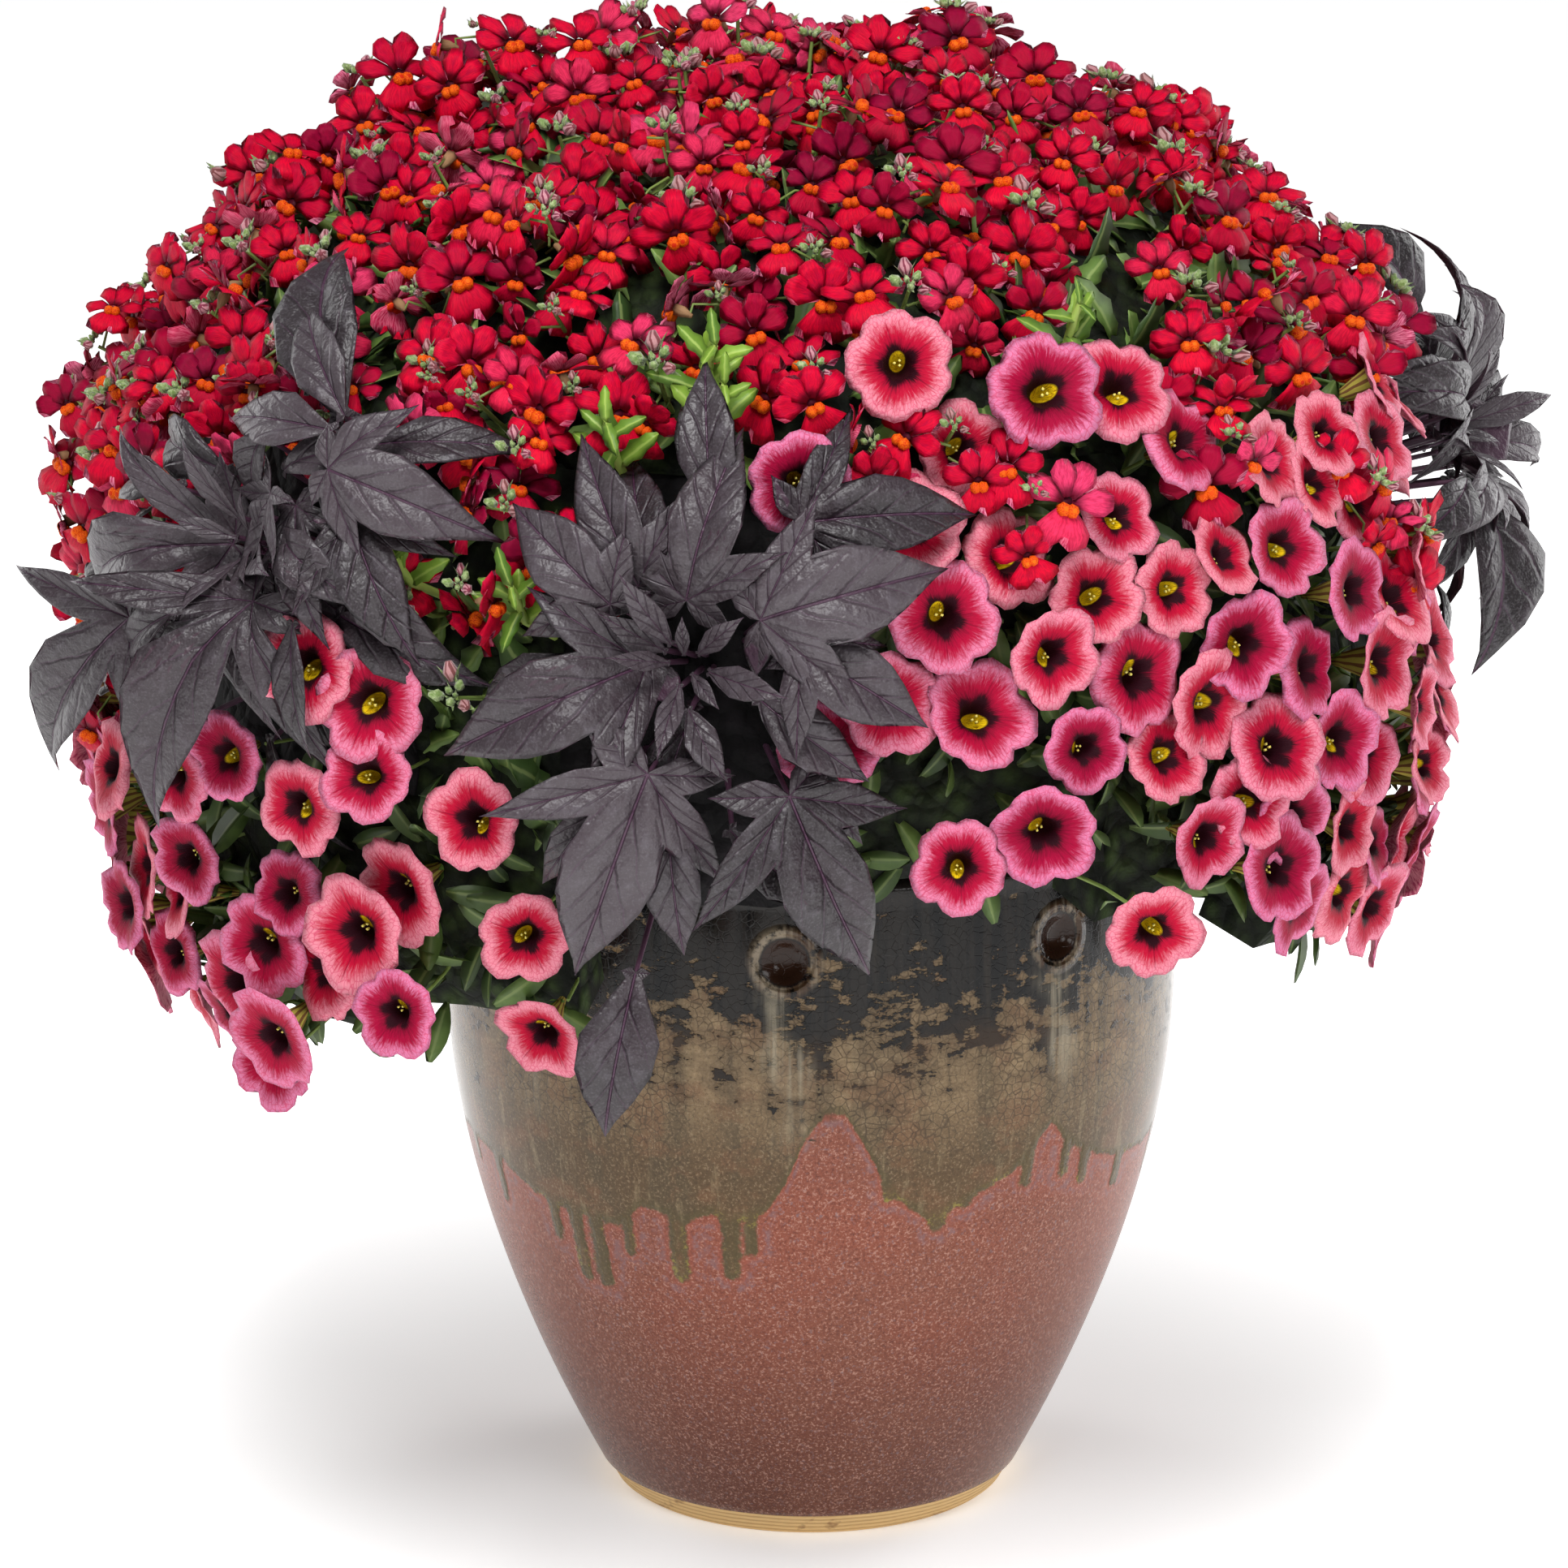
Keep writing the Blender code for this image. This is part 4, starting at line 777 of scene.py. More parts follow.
def make_leafing_tree():
    """Scatters leaves over a surface. They stand out of it at a slant, each turned its own way."""
    sizes = ("Density", "Size", "Size Sway", "Slant", "Slant Sway")
    inputs = {"Shapes": "Collection", **dict.fromkeys(sizes, "Float"), "Seed": "Int", "Finish": "Material"}
    tree, given = geometry_tree("leafing", inputs)
    seed = given["Seed"]
    sockets = {"Mesh": given["Geometry"], "Density": given["Density"], "Seed": seed}
    spots = tree.node("GeometryNodeDistributePointsOnFaces", {}, sockets)
    laid = Socket(tree, spots.socket.node.outputs["Rotation"])
    slanting, swaying, spinning, sizing = (chance_value(tree, seed + float(k)) for k in range(1, 5))
    spin = (0.0, 0.0, spinning * math.pi)
    lean = (given["Slant"] + slanting * given["Slant Sway"], swaying * 0.5, 0.0)
    for angles in (spin, lean):
        turn = tree.node("ShaderNodeCombineXYZ", {}, dict(enumerate(angles)))
        sockets = {"Rotation": laid, "Rotate By": turn}
        laid = tree.node("FunctionNodeRotateRotation", {"rotation_space": "LOCAL"}, sockets)
    size = given["Size"] * (sizing * given["Size Sway"] + 1.0)
    sockets = {4: 0, 5: 2, "Seed": seed + 9.0}
    pick = tree.node("FunctionNodeRandomValue", {"data_type": "INT"}, sockets, output=2)
    leaves = shapes_on(tree, given, spots, pick, laid, size)
    settings = {"data_type": "FLOAT", "domain": "INSTANCE"}
    sockets = {"Geometry": leaves, "Name": "tint", "Value": swaying * 0.5 + 0.5}
    tinted = tree.node("GeometryNodeStoreNamedAttribute", settings, sockets)
    return finish_tree(tree, tinted, given["Finish"])


def make_stalk_tree():
    """Turns lines into round stalks, as thick as their points' own attribute says."""
    tree, given = geometry_tree("stalks", {"Thickness": "Float", "Sides": "Int", "Finish": "Material"})
    lines = tree.node("GeometryNodeMeshToCurve", {}, {0: given["Geometry"]})
    around = {"Resolution": given["Sides"], "Radius": 1.0}
    ring = tree.node("GeometryNodeCurvePrimitiveCircle", {"mode": "RADIUS"}, around)
    thickness = point_value(tree, "size") * given["Thickness"]
    sockets = {"Curve": lines, "Profile Curve": ring, "Scale": thickness, "Fill Caps": True}
    solid = tree.node("GeometryNodeCurveToMesh", {}, sockets)
    rounded = tree.node("GeometryNodeSetShadeSmooth", {}, {"Geometry": solid})
    return finish_tree(tree, rounded, given["Finish"])


def grown(source, tree, values):
    """The source object's mesh as a tree makes it, with the tree's inputs set by their identifiers."""
    modifier = source.modifiers.new("Grow", "NODES")
    modifier.node_group = tree
    for item in tree.interface.items_tree:
        if item.in_out == "INPUT" and item.name in values:
            modifier[item.identifier] = values[item.name]
    graph = bpy.context.evaluated_depsgraph_get()
    mesh = bpy.data.meshes.new_from_object(source.evaluated_get(graph))
    source.modifiers.clear()
    return mesh


# Meshes


def linked(name, data):
    """A new object of the scene."""
    made = bpy.data.objects.new(name, data)
    bpy.context.scene.collection.objects.link(made)
    return made


def set_values(mesh, label, values, kind="FLOAT"):
    """A value for each point of a mesh."""
    layer = mesh.attributes.new(label, kind, "POINT")
    field = "vector" if kind == "FLOAT_VECTOR" else "value"
    numbers = np.array(values, np.int32 if kind == "INT" else float)
    layer.data.foreach_set(field, numbers.ravel())


def mesh_object(name, points, faces, maps=None, attributes=None, smooth_faces=True):
    """An object from points and faces. maps gives each face's places on its map, one for each corner."""
    mesh = bpy.data.meshes.new(name)
    mesh.from_pydata([tuple(p) for p in points], [], faces)
    if maps:
        label, places = maps
        layer = mesh.uv_layers.new(name=label)
        layer.data.foreach_set("uv", np.array([c for face in places for c in face], float).ravel())
    for label, values in (attributes or {}).items():
        set_values(mesh, label, values)
    mesh.polygons.foreach_set("use_smooth", [smooth_faces] * len(faces))
    return linked(name, mesh)


def kept(name, source, finish, nodes=(), tree=None, values=None):
    """A finished piece from a source object, or from what a tree makes of it. The source goes.

    The piece rides on the one body and stands for its CAD nodes.
    """
    mesh = grown(source, tree, {**(values or {}), "Finish": finish}) if tree else source.data
    piece = linked(name, mesh)
    if not mesh.materials:
        mesh.materials.append(finish)
    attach(piece, "root")
    if nodes:
        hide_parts(*nodes)
    bpy.data.objects.remove(source)


def spot_of(at, facing, up, size, tint, pick):
    """A point for a tree to set a shape on, which faces one way and has its own size, tint and pick."""
    return {"at": at, "turn": turn_of(facing, up), "size": size, "tint": tint, "pick": pick}


def kept_stalks(name, lines, finish, stalk_tree, thickness, sides):
    """Lines made round stalks by the stalk tree, as a finished piece."""
    values = {"Thickness": thickness, "Sides": sides}
    kept(name, lines_object(lines), finish, tree=stalk_tree, values=values)


def points_object(spots):
    """A cloud of points, each with its turn, size, tint and pick."""
    mesh = bpy.data.meshes.new("spots")
    mesh.from_pydata([tuple(s["at"]) for s in spots], [], [])
    for label, kind in (("turn", "FLOAT_VECTOR"), ("size", "FLOAT"), ("tint", "FLOAT"), ("pick", "INT")):
        set_values(mesh, label, [s[label] for s in spots], kind)
    return linked("spots", mesh)


def lines_object(lines):
    """Lines of (point, thickness)."""
    points, edges, sizes = [], [], []
    for line in lines:
        first = len(points)
        points += [tuple(p) for p, _ in line]
        sizes += [size for _, size in line]
        edges += [(first + k, first + k + 1) for k in range(len(line) - 1)]
    mesh = bpy.data.meshes.new("lines")
    mesh.from_pydata(points, edges, [])
    set_values(mesh, "size", sizes)
    return linked("lines", mesh)


def shape_set(name, make, count, first_seed, *sizes):
    """A collection of shapes for a tree to pick from, in order of their names."""
    group = bpy.data.collections.new(name + "_shapes")
    bpy.context.scene.collection.children.link(group)
    for number in range(count):
        shape = make(f"{name}_{number}", first_seed + number, *sizes)
        bpy.context.scene.collection.objects.unlink(shape)
        group.objects.link(shape)
    return group


def turn_of(facing, up):
    """The turn, as three angles, that brings +Z to facing and +Y as near to up as can be."""
    side = up.cross(facing)
    if side.length < 1e-4:
        side = Vector((1, 0, 0))
    side.normalize()
    top = facing.cross(side)
    return Matrix((side, top, facing)).transposed().to_euler("XYZ")


def grid_cells(rows, columns):
    """The four corners of each face of a grid, as rows and columns."""
    starts = [(i, j) for i in range(rows - 1) for j in range(columns - 1)]
    return [[(i, j), (i, j + 1), (i + 1, j + 1), (i + 1, j)] for i, j in starts]


class Shape:
    """Points, faces and each face's places on its map, gathered for one mesh."""

    def __init__(self):
        self.points, self.faces, self.maps = [], [], []

    def blade(self, surface, rows, columns, drop, offset=0.0, back_offset=2.0, flip=False):
        """Adds a thin closed blade, whose underside lies lower by drop and shares its rim.

        surface(u, v) gives its points for u from 0 to 1 and v from -1 to 1.
        """
        spots = {(i, j): surface(i / (rows - 1), 2 * j / (columns - 1) - 1)
                 for i in range(rows) for j in range(columns)}
        top = {spot: len(self.points) + number for number, spot in enumerate(spots)}
        self.points += spots.values()
        low = dict(top)
        for i in range(1, rows - 1):
            for j in range(1, columns - 1):
                low[i, j] = len(self.points)
                self.points.append(spots[i, j] - drop)
        order = -1 if flip else 1
        for numbers, shift, way in ((top, offset, order), (low, back_offset, -order)):
            for corners in grid_cells(rows, columns):
                self.faces.append([numbers[c] for c in corners[::way]])
                self.maps.append([(i / (rows - 1) + shift, j / (columns - 1)) for i, j in corners[::way]])

    def stack(self, rings, sides, offset):
        """Adds a closed round body with flat ends from rings of (centre, radius across, radius up)."""
        first = len(self.points)
        for centre, across, up in rings:
            for k in range(sides):
                turn = math.tau * k / sides
                self.points.append(centre + Vector((across * math.cos(turn), up * math.sin(turn), 0)))
        for i in range(len(rings) - 1):
            for k in range(sides):
                a, b = first + i * sides + k, first + i * sides + (k + 1) % sides
                self.faces.append([a, b, b + sides, a + sides])
                u0, u1 = offset + i / len(rings), offset + (i + 1) / len(rings)
                v0, v1 = k / sides, (k + 1) / sides
                self.maps.append([(u0, v0), (u0, v1), (u1, v1), (u1, v0)])
        last = first + (len(rings) - 1) * sides
        self.faces.append([first + k for k in reversed(range(sides))])
        self.faces.append([last + k for k in range(sides)])
        self.maps += [[(offset, 0.5)] * sides, [(offset + 0.95, 0.5)] * sides]

    def add(self, other, moved):
        """Adds another shape, with its points moved."""
        first = len(self.points)
        self.points += [moved(p) for p in other.points]
        self.faces += [[first + v for v in face] for face in other.faces]
        self.maps += other.maps

    def made(self, name, label, attributes=None):
        return mesh_object(name, self.points, self.faces, (label, self.maps), attributes)


# Flowers


def nemesia_bloom(name, seed):
    """One nemesia of radius 1: four upper lobes, a broad notched lip, a two-humped palate and a tube."""
    chance = random.Random(seed)
    bloom = Shape()
    thickness = Vector((0, 0, 0.03))
    for bearing in (-76, -25, 25, 76):
        angle = math.radians(bearing + chance.uniform(-6, 6))
        length = chance.uniform(0.84, 1.02)
        width = chance.uniform(0.27, 0.33)
        curl = chance.uniform(-0.34, 0.08)
        wave, phase = chance.uniform(0.02, 0.06), chance.uniform(0, 6)
        lift = 0.05 if abs(bearing) < 40 else 0.0

        def upper(u, v):
            wide = width * (0.28 + 0.72 * math.sin(min(1.0, u * 1.2) * math.pi / 2) ** 1.6)
            notch = 0.05 * math.exp(-((v / 0.3) ** 2)) * u**4
            reach = 0.10 + (length - 0.10) * (u - 0.32 * v * v * u**1.5 - notch)
            high = lift + 0.20 * u + curl * u * u
            high += wave * math.sin(2.6 * v + phase) * u * u - 0.04 * v * v * u
            x = math.sin(angle) * reach + math.cos(angle) * wide * v
            y = math.cos(angle) * reach - math.sin(angle) * wide * v
            return Vector((x, y, high))

        bloom.blade(upper, 4, 5, thickness)
    length, width = chance.uniform(0.90, 1.04), chance.uniform(0.60, 0.76)
    curl, phase = chance.uniform(-0.26, 0.0), chance.uniform(0, 6)

    def lip(u, v):
        wide = width * (0.30 + 0.70 * math.sin(min(1.0, u * 1.2) * math.pi / 2) ** 1.3)
        notch = 0.22 * math.exp(-((v / 0.15) ** 2)) * u**3
        reach = 0.12 + (length - 0.12) * (u - 0.26 * v * v * u - notch)
        high = 0.02 + 0.26 * u * (1 - u) + curl * u * u
        high += 0.05 * math.sin(4 * v + phase) * u * u - 0.06 * v * v * u
        return Vector((-wide * v, -reach, high))

    bloom.blade(lip, 4, 7, thickness, offset=8.0)
    for side in (-1, 1):
        hump = []
        for z, size in ((-0.03, 0.9), (0.10, 1.0), (0.18, 0.80), (0.215, 0.35)):
            hump.append((Vector((side * 0.095, -0.17 - 0.05 * z, z)), 0.145 * size, 0.150 * size))
        bloom.stack(hump, 7, 4.0)
    tube = [
        (Vector((0, -0.02, -0.46)), 0.05, 0.05),
        (Vector((0, 0, -0.22)), 0.12, 0.14),
        (Vector((0, 0, 0.0)), 0.15, 0.15),
    ]
    bloom.stack(tube, 6, 6.0)
    return bloom.made(name, "petal")


def calibrachoa_bloom(name, seed):
    """One calibrachoa of radius 1: five fused lobes round a deep throat, a striped tube and green sepals."""
    chance = random.Random(seed)
    bloom = Shape()
    points, faces, maps = bloom.points, bloom.faces, bloom.maps
    sides = 30
    rings = (0.0, 0.09, 0.16, 0.22, 0.30, 0.46, 0.66, 0.85, 1.0)
    back_rings = (0.34, 0.60, 0.88)
    lobe = [chance.uniform(-0.07, 0.07) for _ in range(5)]
    wave = [(chance.uniform(0.02, 0.05), chance.uniform(0, 6), n) for n in (3, 7, 11)]
    cupped = chance.uniform(0.05, 0.50)
    reflex = chance.uniform(0.15, 0.55)
    squash_x = chance.uniform(0.92, 1.0)

    def surface(rho, turn):
        number = (turn * 5 / math.tau) % 5
        near = abs((number + 0.5) % 1 - 0.5) * 2
        rim = 1.03 + lobe[int(number + 0.5) % 5] * (1 - near) - 0.17 * near**2.6
        rim -= 0.035 * math.exp(-((near / 0.12) ** 2))
        radius = rho * (1 + (rim - 1) * rho * rho)
        depth = -0.62 * (1 - min(1.0, rho / 0.30)) ** 0.85
        high = depth + cupped * max(0.0, rho - 0.25) - reflex * max(0.0, rho - 0.55) ** 2 / 0.45
        high -= 0.09 * near**2 * rho * rho
        high += sum(size * math.sin(count * turn + phase) for size, phase, count in wave) * rho**3
        return Vector((radius * math.cos(turn) * squash_x, radius * math.sin(turn), high))

    def ring_at(rho, lower):
        first = len(points)
        for k in range(sides):
            points.append(surface(rho, math.tau * k / sides) - Vector((0, 0, lower)))
        return [first + k for k in range(sides)]

    # The trumpet's face, and its back from the rim to the tube
    points.append(surface(0.0, 0.0))
    front = [ring_at(rho, 0.0) for rho in rings[1:]]
    behind = [ring_at(rho, 0.10 - 0.06 * rho) for rho in back_rings]
    back = [*zip(behind, back_rings), (front[-1], 1.0)]
    for k in range(sides):
        n, v0, v1 = (k + 1) % sides, k / sides, (k + 1) / sides
        faces.append([0, front[0][k], front[0][n]])
        maps.append([(0, (v0 + v1) / 2), (rings[1], v0), (rings[1], v1)])
        for i in range(len(front) - 1):
            r0, r1 = rings[i + 1], rings[i + 2]
            faces.append([front[i][k], front[i + 1][k], front[i + 1][n], front[i][n]])
            maps.append([(r0, v0), (r1, v0), (r1, v1), (r0, v1)])
        for (low, r0), (high, r1) in zip(back, back[1:]):
            faces.append([low[k], low[n], high[n], high[k]])
            maps.append([(r0 + 2, v0), (r0 + 2, v1), (r1 + 2, v1), (r1 + 2, v0)])

    # The tube has a third of the sides
    length = chance.uniform(0.75, 0.95)
    bend = chance.uniform(-0.12, 0.12)
    count = sides // 3
    previous, previous_v = behind[0], 0.0
    for share, radius in ((0.30, 0.24), (0.66, 0.14), (1.0, 0.075)):
        ring = []
        for k in range(count):
            turn = math.tau * k / count
            ring.append(len(points))
            x, y = radius * math.cos(turn) + bend * share, radius * math.sin(turn) - 0.1 * share
            points.append(Vector((x, y, -length * share - 0.12)))
        for k in range(count):
            n = (k + 1) % count
            if len(previous) == sides:
                wide = [previous[(3 * k + j) % sides] for j in range(4)]
                v = [(3 * k + j) / sides for j in range(4)]
                faces.append([wide[1], wide[0], ring[k]])
                maps.append([(4.0, v[1]), (4.0, v[0]), (4 + share, v[0])])
                faces.append([wide[2], wide[1], ring[k], ring[n]])
                maps.append([(4.0, v[2]), (4.0, v[1]), (4 + share, v[0]), (4 + share, v[3])])
                faces.append([wide[3], wide[2], ring[n]])
                maps.append([(4.0, v[3]), (4.0, v[2]), (4 + share, v[3])])
            else:
                u0, u1, v0, v1 = 4 + previous_v, 4 + share, k / count, (k + 1) / count
                faces.append([previous[n], previous[k], ring[k], ring[n]])
                maps.append([(u0, v1), (u0, v0), (u1, v0), (u1, v1)])
        previous, previous_v = ring, share * 0.95
    faces.append(list(reversed(previous)))
    maps.append([(4.95, 0.5)] * len(previous))

    # Sepals and stamens
    for k in range(5):
        turn = math.tau * (k + 0.5) / 5
        away = Vector((math.cos(turn), math.sin(turn), 0))
        base = Vector((bend, -0.1, -length - 0.05))
        tip = base + away * chance.uniform(0.24, 0.32) + Vector((0, 0, chance.uniform(0.30, 0.45)))
        side = away.cross(UP) * 0.06

        def sepal(u, v):
            wide = math.sin(math.pi * (0.15 + 0.85 * u)) * 0.9 + 0.12
            return base.lerp(tip, u) + side * v * wide + away * 0.06 * math.sin(math.pi * u)

        bloom.blade(sepal, 3, 3, Vector((0, 0, 0.02)), offset=6.0, back_offset=6.0)
    for k in range(3):
        spot = Vector((0.06 * math.cos(k * 2.1), -0.06 + 0.05 * math.sin(k * 2.1), -0.20))
        bloom.stack([(spot, 0.025, 0.025), (spot + Vector((0, 0, 0.06)), 0.03, 0.025)], 4, 8.0)
    return bloom.made(name, "petal")


def bud_cluster(name, seed):
    """A cluster of downy buds round a shoot tip, the largest with pink stripes."""
    chance = random.Random(seed)
    cluster = Shape()
    for k in range(7):
        turn = k * GOLDEN_ANGLE
        lean = 0.25 + 0.14 * k
        axis = Vector((math.sin(lean) * math.cos(turn), math.sin(lean) * math.sin(turn), math.cos(lean)))
        size = 0.17 + 0.045 * k * chance.uniform(0.7, 1.2)
        base = axis * (0.25 + 0.05 * k)
        quarter = axis.to_track_quat("Z", "Y")
        bud = Shape()
        rings = ((0.0, 0.30), (0.5, 0.62), (1.1, 0.24))
        stack = [(Vector((0, 0, h * size * 1.3)), r * size, r * size) for h, r in rings]
        bud.stack(stack, 5, 2.0 if k > 4 else 0.0)
        cluster.add(bud, lambda p: base + quarter @ p)
        for j in range(2):
            side_turn = math.pi * j + k
            out = quarter @ Vector((math.cos(side_turn), math.sin(side_turn), 0))
            side = axis.cross(out)
            foot = base + out * size * 0.25

            def sepal(u, v):
                wide = size * 0.30 * (1 - u) ** 0.8 + 0.008
                return foot + axis * size * 1.25 * u + out * size * (0.5 * u + 0.3 * u * u) + side * wide * v

            cluster.blade(sepal, 3, 3, Vector((0, 0, 0.012)), back_offset=0.0)
    return cluster.made(name, "blade")


def small_leaf(name, seed, width, teeth, spoon):
    """A small green leaf of length 1 along +Z, its upper side towards +Y."""
    chance = random.Random(seed)
    leaf = Shape()
    bend, twist = chance.uniform(0.05, 0.35), chance.uniform(-0.3, 0.3)

    def surface(u, v):
        wide = width * math.sin(math.pi * (0.06 + 0.9 * u) ** spoon) ** 0.8 + 0.012
        wide *= 1 + teeth * (1 if round(u * 6) % 2 else -1) * abs(v)
        x = wide * v
        y = -bend * u * u + 0.35 * wide * v * v + twist * x * u
        return Vector((x, y, u))

    leaf.blade(surface, 7, 3, Vector((0, 0.03, 0)), back_offset=0.0, flip=True)
    leaf.maps = [[(u, 2 * v - 1) for u, v in face] for face in leaf.maps]
    return leaf.made(name, "blade")


# Vine leaves


def leaf_height(outward, middle, layer):
    """A vine leaf's distance: low near its growing tip, and high where it spreads over the flowers."""
    away = outward.angle(middle) * BLOOM_DISTANCE
    return LEAF_LOW + (LEAF_HIGH - LEAF_LOW) * smooth(away, 0, LEAF_RISE) + layer * LEAF_LAYER_STEP


def leaf_point(base, bearing, middle, layer, length, u, v, lift):
    """The point of a leaf u along its midrib and v across, laid over the mound. Below the hem it hangs."""
    up, right = tangents(base)
    along = up * math.cos(bearing) + right * math.sin(bearing)
    across = along.cross(base)
    reach = math.hypot(u, v)
    turn = reach / BLOOM_DISTANCE
    outward = base
    if reach > 0:
        outward = base * math.cos(turn) + (along * u + across * v) / reach * math.sin(turn)
    droop = LEAF_TIP_DROOP * max(0.0, u / length) ** 3
    distance = leaf_height(outward, middle, layer) - droop + lift
    azimuth, polar = angles_of(outward)
    if polar < HANG_POLAR:
        return place(outward, distance)
    below = math.radians(polar - HANG_POLAR) * BLOOM_DISTANCE
    return place(direction(azimuth, HANG_POLAR), distance) - Vector((0, 0, below * 0.97))


def lobe_width(share):
    """Half width of a lobe along its length, 1 at its widest. It narrows to a long sharp tip."""
    return 5.516 * share * (1 - share) ** 1.55


def lobe_reach(lobe, angle):
    """How far a lobe (bearing, length, half width) reaches in a direction from the leaf's base."""
    bearing, length, width = lobe
    off = abs((angle - bearing + math.pi) % math.tau - math.pi)
    if off < 1e-4:
        return length
    least = 0.03 * length * (1 + math.cos(off))
    if off > math.pi / 2.1:
        return least
    low, high = 0.0, 1.0
    for _ in range(24):
        share = (low + high) / 2
        if width * lobe_width(share) > length * share * math.tan(off):
            low = share
        else:
            high = share
    return max(least, length * low / math.cos(off))


def leaf_outline(lobes, half_columns):
    """The stretches of a leaf's outline, each as its lobe and its columns' angles, from side to side."""
    count = 720
    angles = [math.radians(-170 + 340 * k / count) for k in range(count + 1)]
    owners = [max(range(len(lobes)), key=lambda n: lobe_reach(lobes[n], a)) for a in angles]
    columns = []
    start = 0
    for k in range(1, count + 2):
        if k <= count and owners[k] == owners[start]:
            continue
        owner = owners[start]
        low, high, middle = angles[start], angles[k - 1], lobes[owner][0]
        steps = [low + (middle - low) * (1 - (1 - s / half_columns) ** 1.7) for s in range(half_columns)]
        steps += [middle]
        steps += [middle + (high - middle) * (s / half_columns) ** 1.7 for s in range(1, half_columns + 1)]
        columns.append((owner, steps))
        start = k
    return columns


def along_lobe(x, y, lobe):
    """How far a point lies along a lobe, and how far out from its midrib, as shares of the lobe."""
    bearing, length, width = lobe
    along = (x * math.sin(bearing) + y * math.cos(bearing)) / length
    return along, (x * math.cos(bearing) - y * math.sin(bearing)) / max(width, 1e-6)


def quilt_height(x, y, lobes):
    """How high a leaf stands at a point. Each lobe folds up from its midrib and swells between its veins."""
    nearest, edge = None, math.inf
    for lobe in lobes:
        along, across = along_lobe(x, y, lobe)
        out = abs(across) / max(lobe_width(min(0.999, max(0.001, along))), 0.08)
        if along >= -0.05 and out < edge:
            nearest, edge = (along, lobe), out
    if nearest is None:
        return 0.0
    along, (_, _, width) = nearest
    edge = min(1.0, edge)
    local = lobe_width(min(0.999, max(0.001, along)))
    fold_up = width * local * (0.62 * edge - 0.22 * edge * edge)
    veins = abs(math.sin(math.pi * (along * 5.5 - edge * local * 1.5))) ** 0.7
    return fold_up + 0.045 * width * veins * edge * (1 - edge) * 4


def add_vine_leaf(vine, shades_and_tints, lobes, laid, tint):
    """Adds one thin leaf with a quilted blade. laid(x, y, h) sets a flat point of the leaf in its place."""
    rings = (0.14, 0.27, 0.40, 0.52, 0.64, 0.75, 0.85, 0.93, 1.0)
    spokes = []
    for owner, steps in leaf_outline(lobes, 6):
        for number, angle in enumerate(steps):
            if spokes and number == 0:
                spokes[-1] = ((spokes[-1][0] + angle) / 2, owner)
            else:
                spokes.append((angle, owner))

    first = len(vine.points)
    spots = {"centre": (0.0, 0.0, 0.0)}
    for c, (angle, _) in enumerate(spokes):
        reach = max(lobe_reach(lobe, angle) for lobe in lobes)
        for r, share in enumerate(rings):
            x, y = math.sin(angle) * reach * share, math.cos(angle) * reach * share
            spots[c, r] = (x, y, quilt_height(x, y, lobes))
    top = {spot: first + number for number, spot in enumerate(spots)}
    vine.points += [laid(*spot) for spot in spots.values()]
    low = {**top, "centre": len(vine.points)}
    vine.points.append(laid(0.0, 0.0, -1.2 * LEAF_THICKNESS))
    for c in range(1, len(spokes) - 1):
        for r in range(len(rings) - 1):
            x, y, high = spots[c, r]
            low[c, r] = len(vine.points)
            vine.points.append(laid(x, y, high - LEAF_THICKNESS))
    shades_and_tints += [tint] * (len(vine.points) - first)

    for c in range(len(spokes) - 1):
        lobe = lobes[spokes[c][1]]
        patches = [["centre", (c, 0), (c + 1, 0)]]
        patches += [[(c, r), (c, r + 1), (c + 1, r + 1), (c + 1, r)] for r in range(len(rings) - 1)]
        for numbers, offset, way in ((top, 0.05, -1), (low, 4.05, 1)):
            for corners in patches:
                places = [along_lobe(*spots[corner][:2], lobe) for corner in corners[::way]]
                vine.faces.append([numbers[corner] for corner in corners[::way]])
                vine.maps.append([(along + offset, across) for along, across in places])


def lobes_of(length, width, lobed, chance):
    """The lobes of a leaf as (bearing, length, half width), from one side to the other."""
    if not lobed:
        ear = [(side * math.radians(95), 0.07 * length, 0.03 * length) for side in (-1, 1)]
        return [ear[0], (0.0, length, 0.220 * length * width), ear[1]]
    made = []
    for side in (-1, 1):
        angle = chance.uniform(48, 64)
        share = chance.uniform(0.52, 0.72)
        made.append((side * math.radians(angle), share * length, 0.108 * length * width))
        made.append((side * math.radians(angle + 56), chance.uniform(0.24, 0.36) * length, 0.072 * length))
    return [made[1], made[0], (0.0, length, 0.212 * length * width), made[2], made[3]]


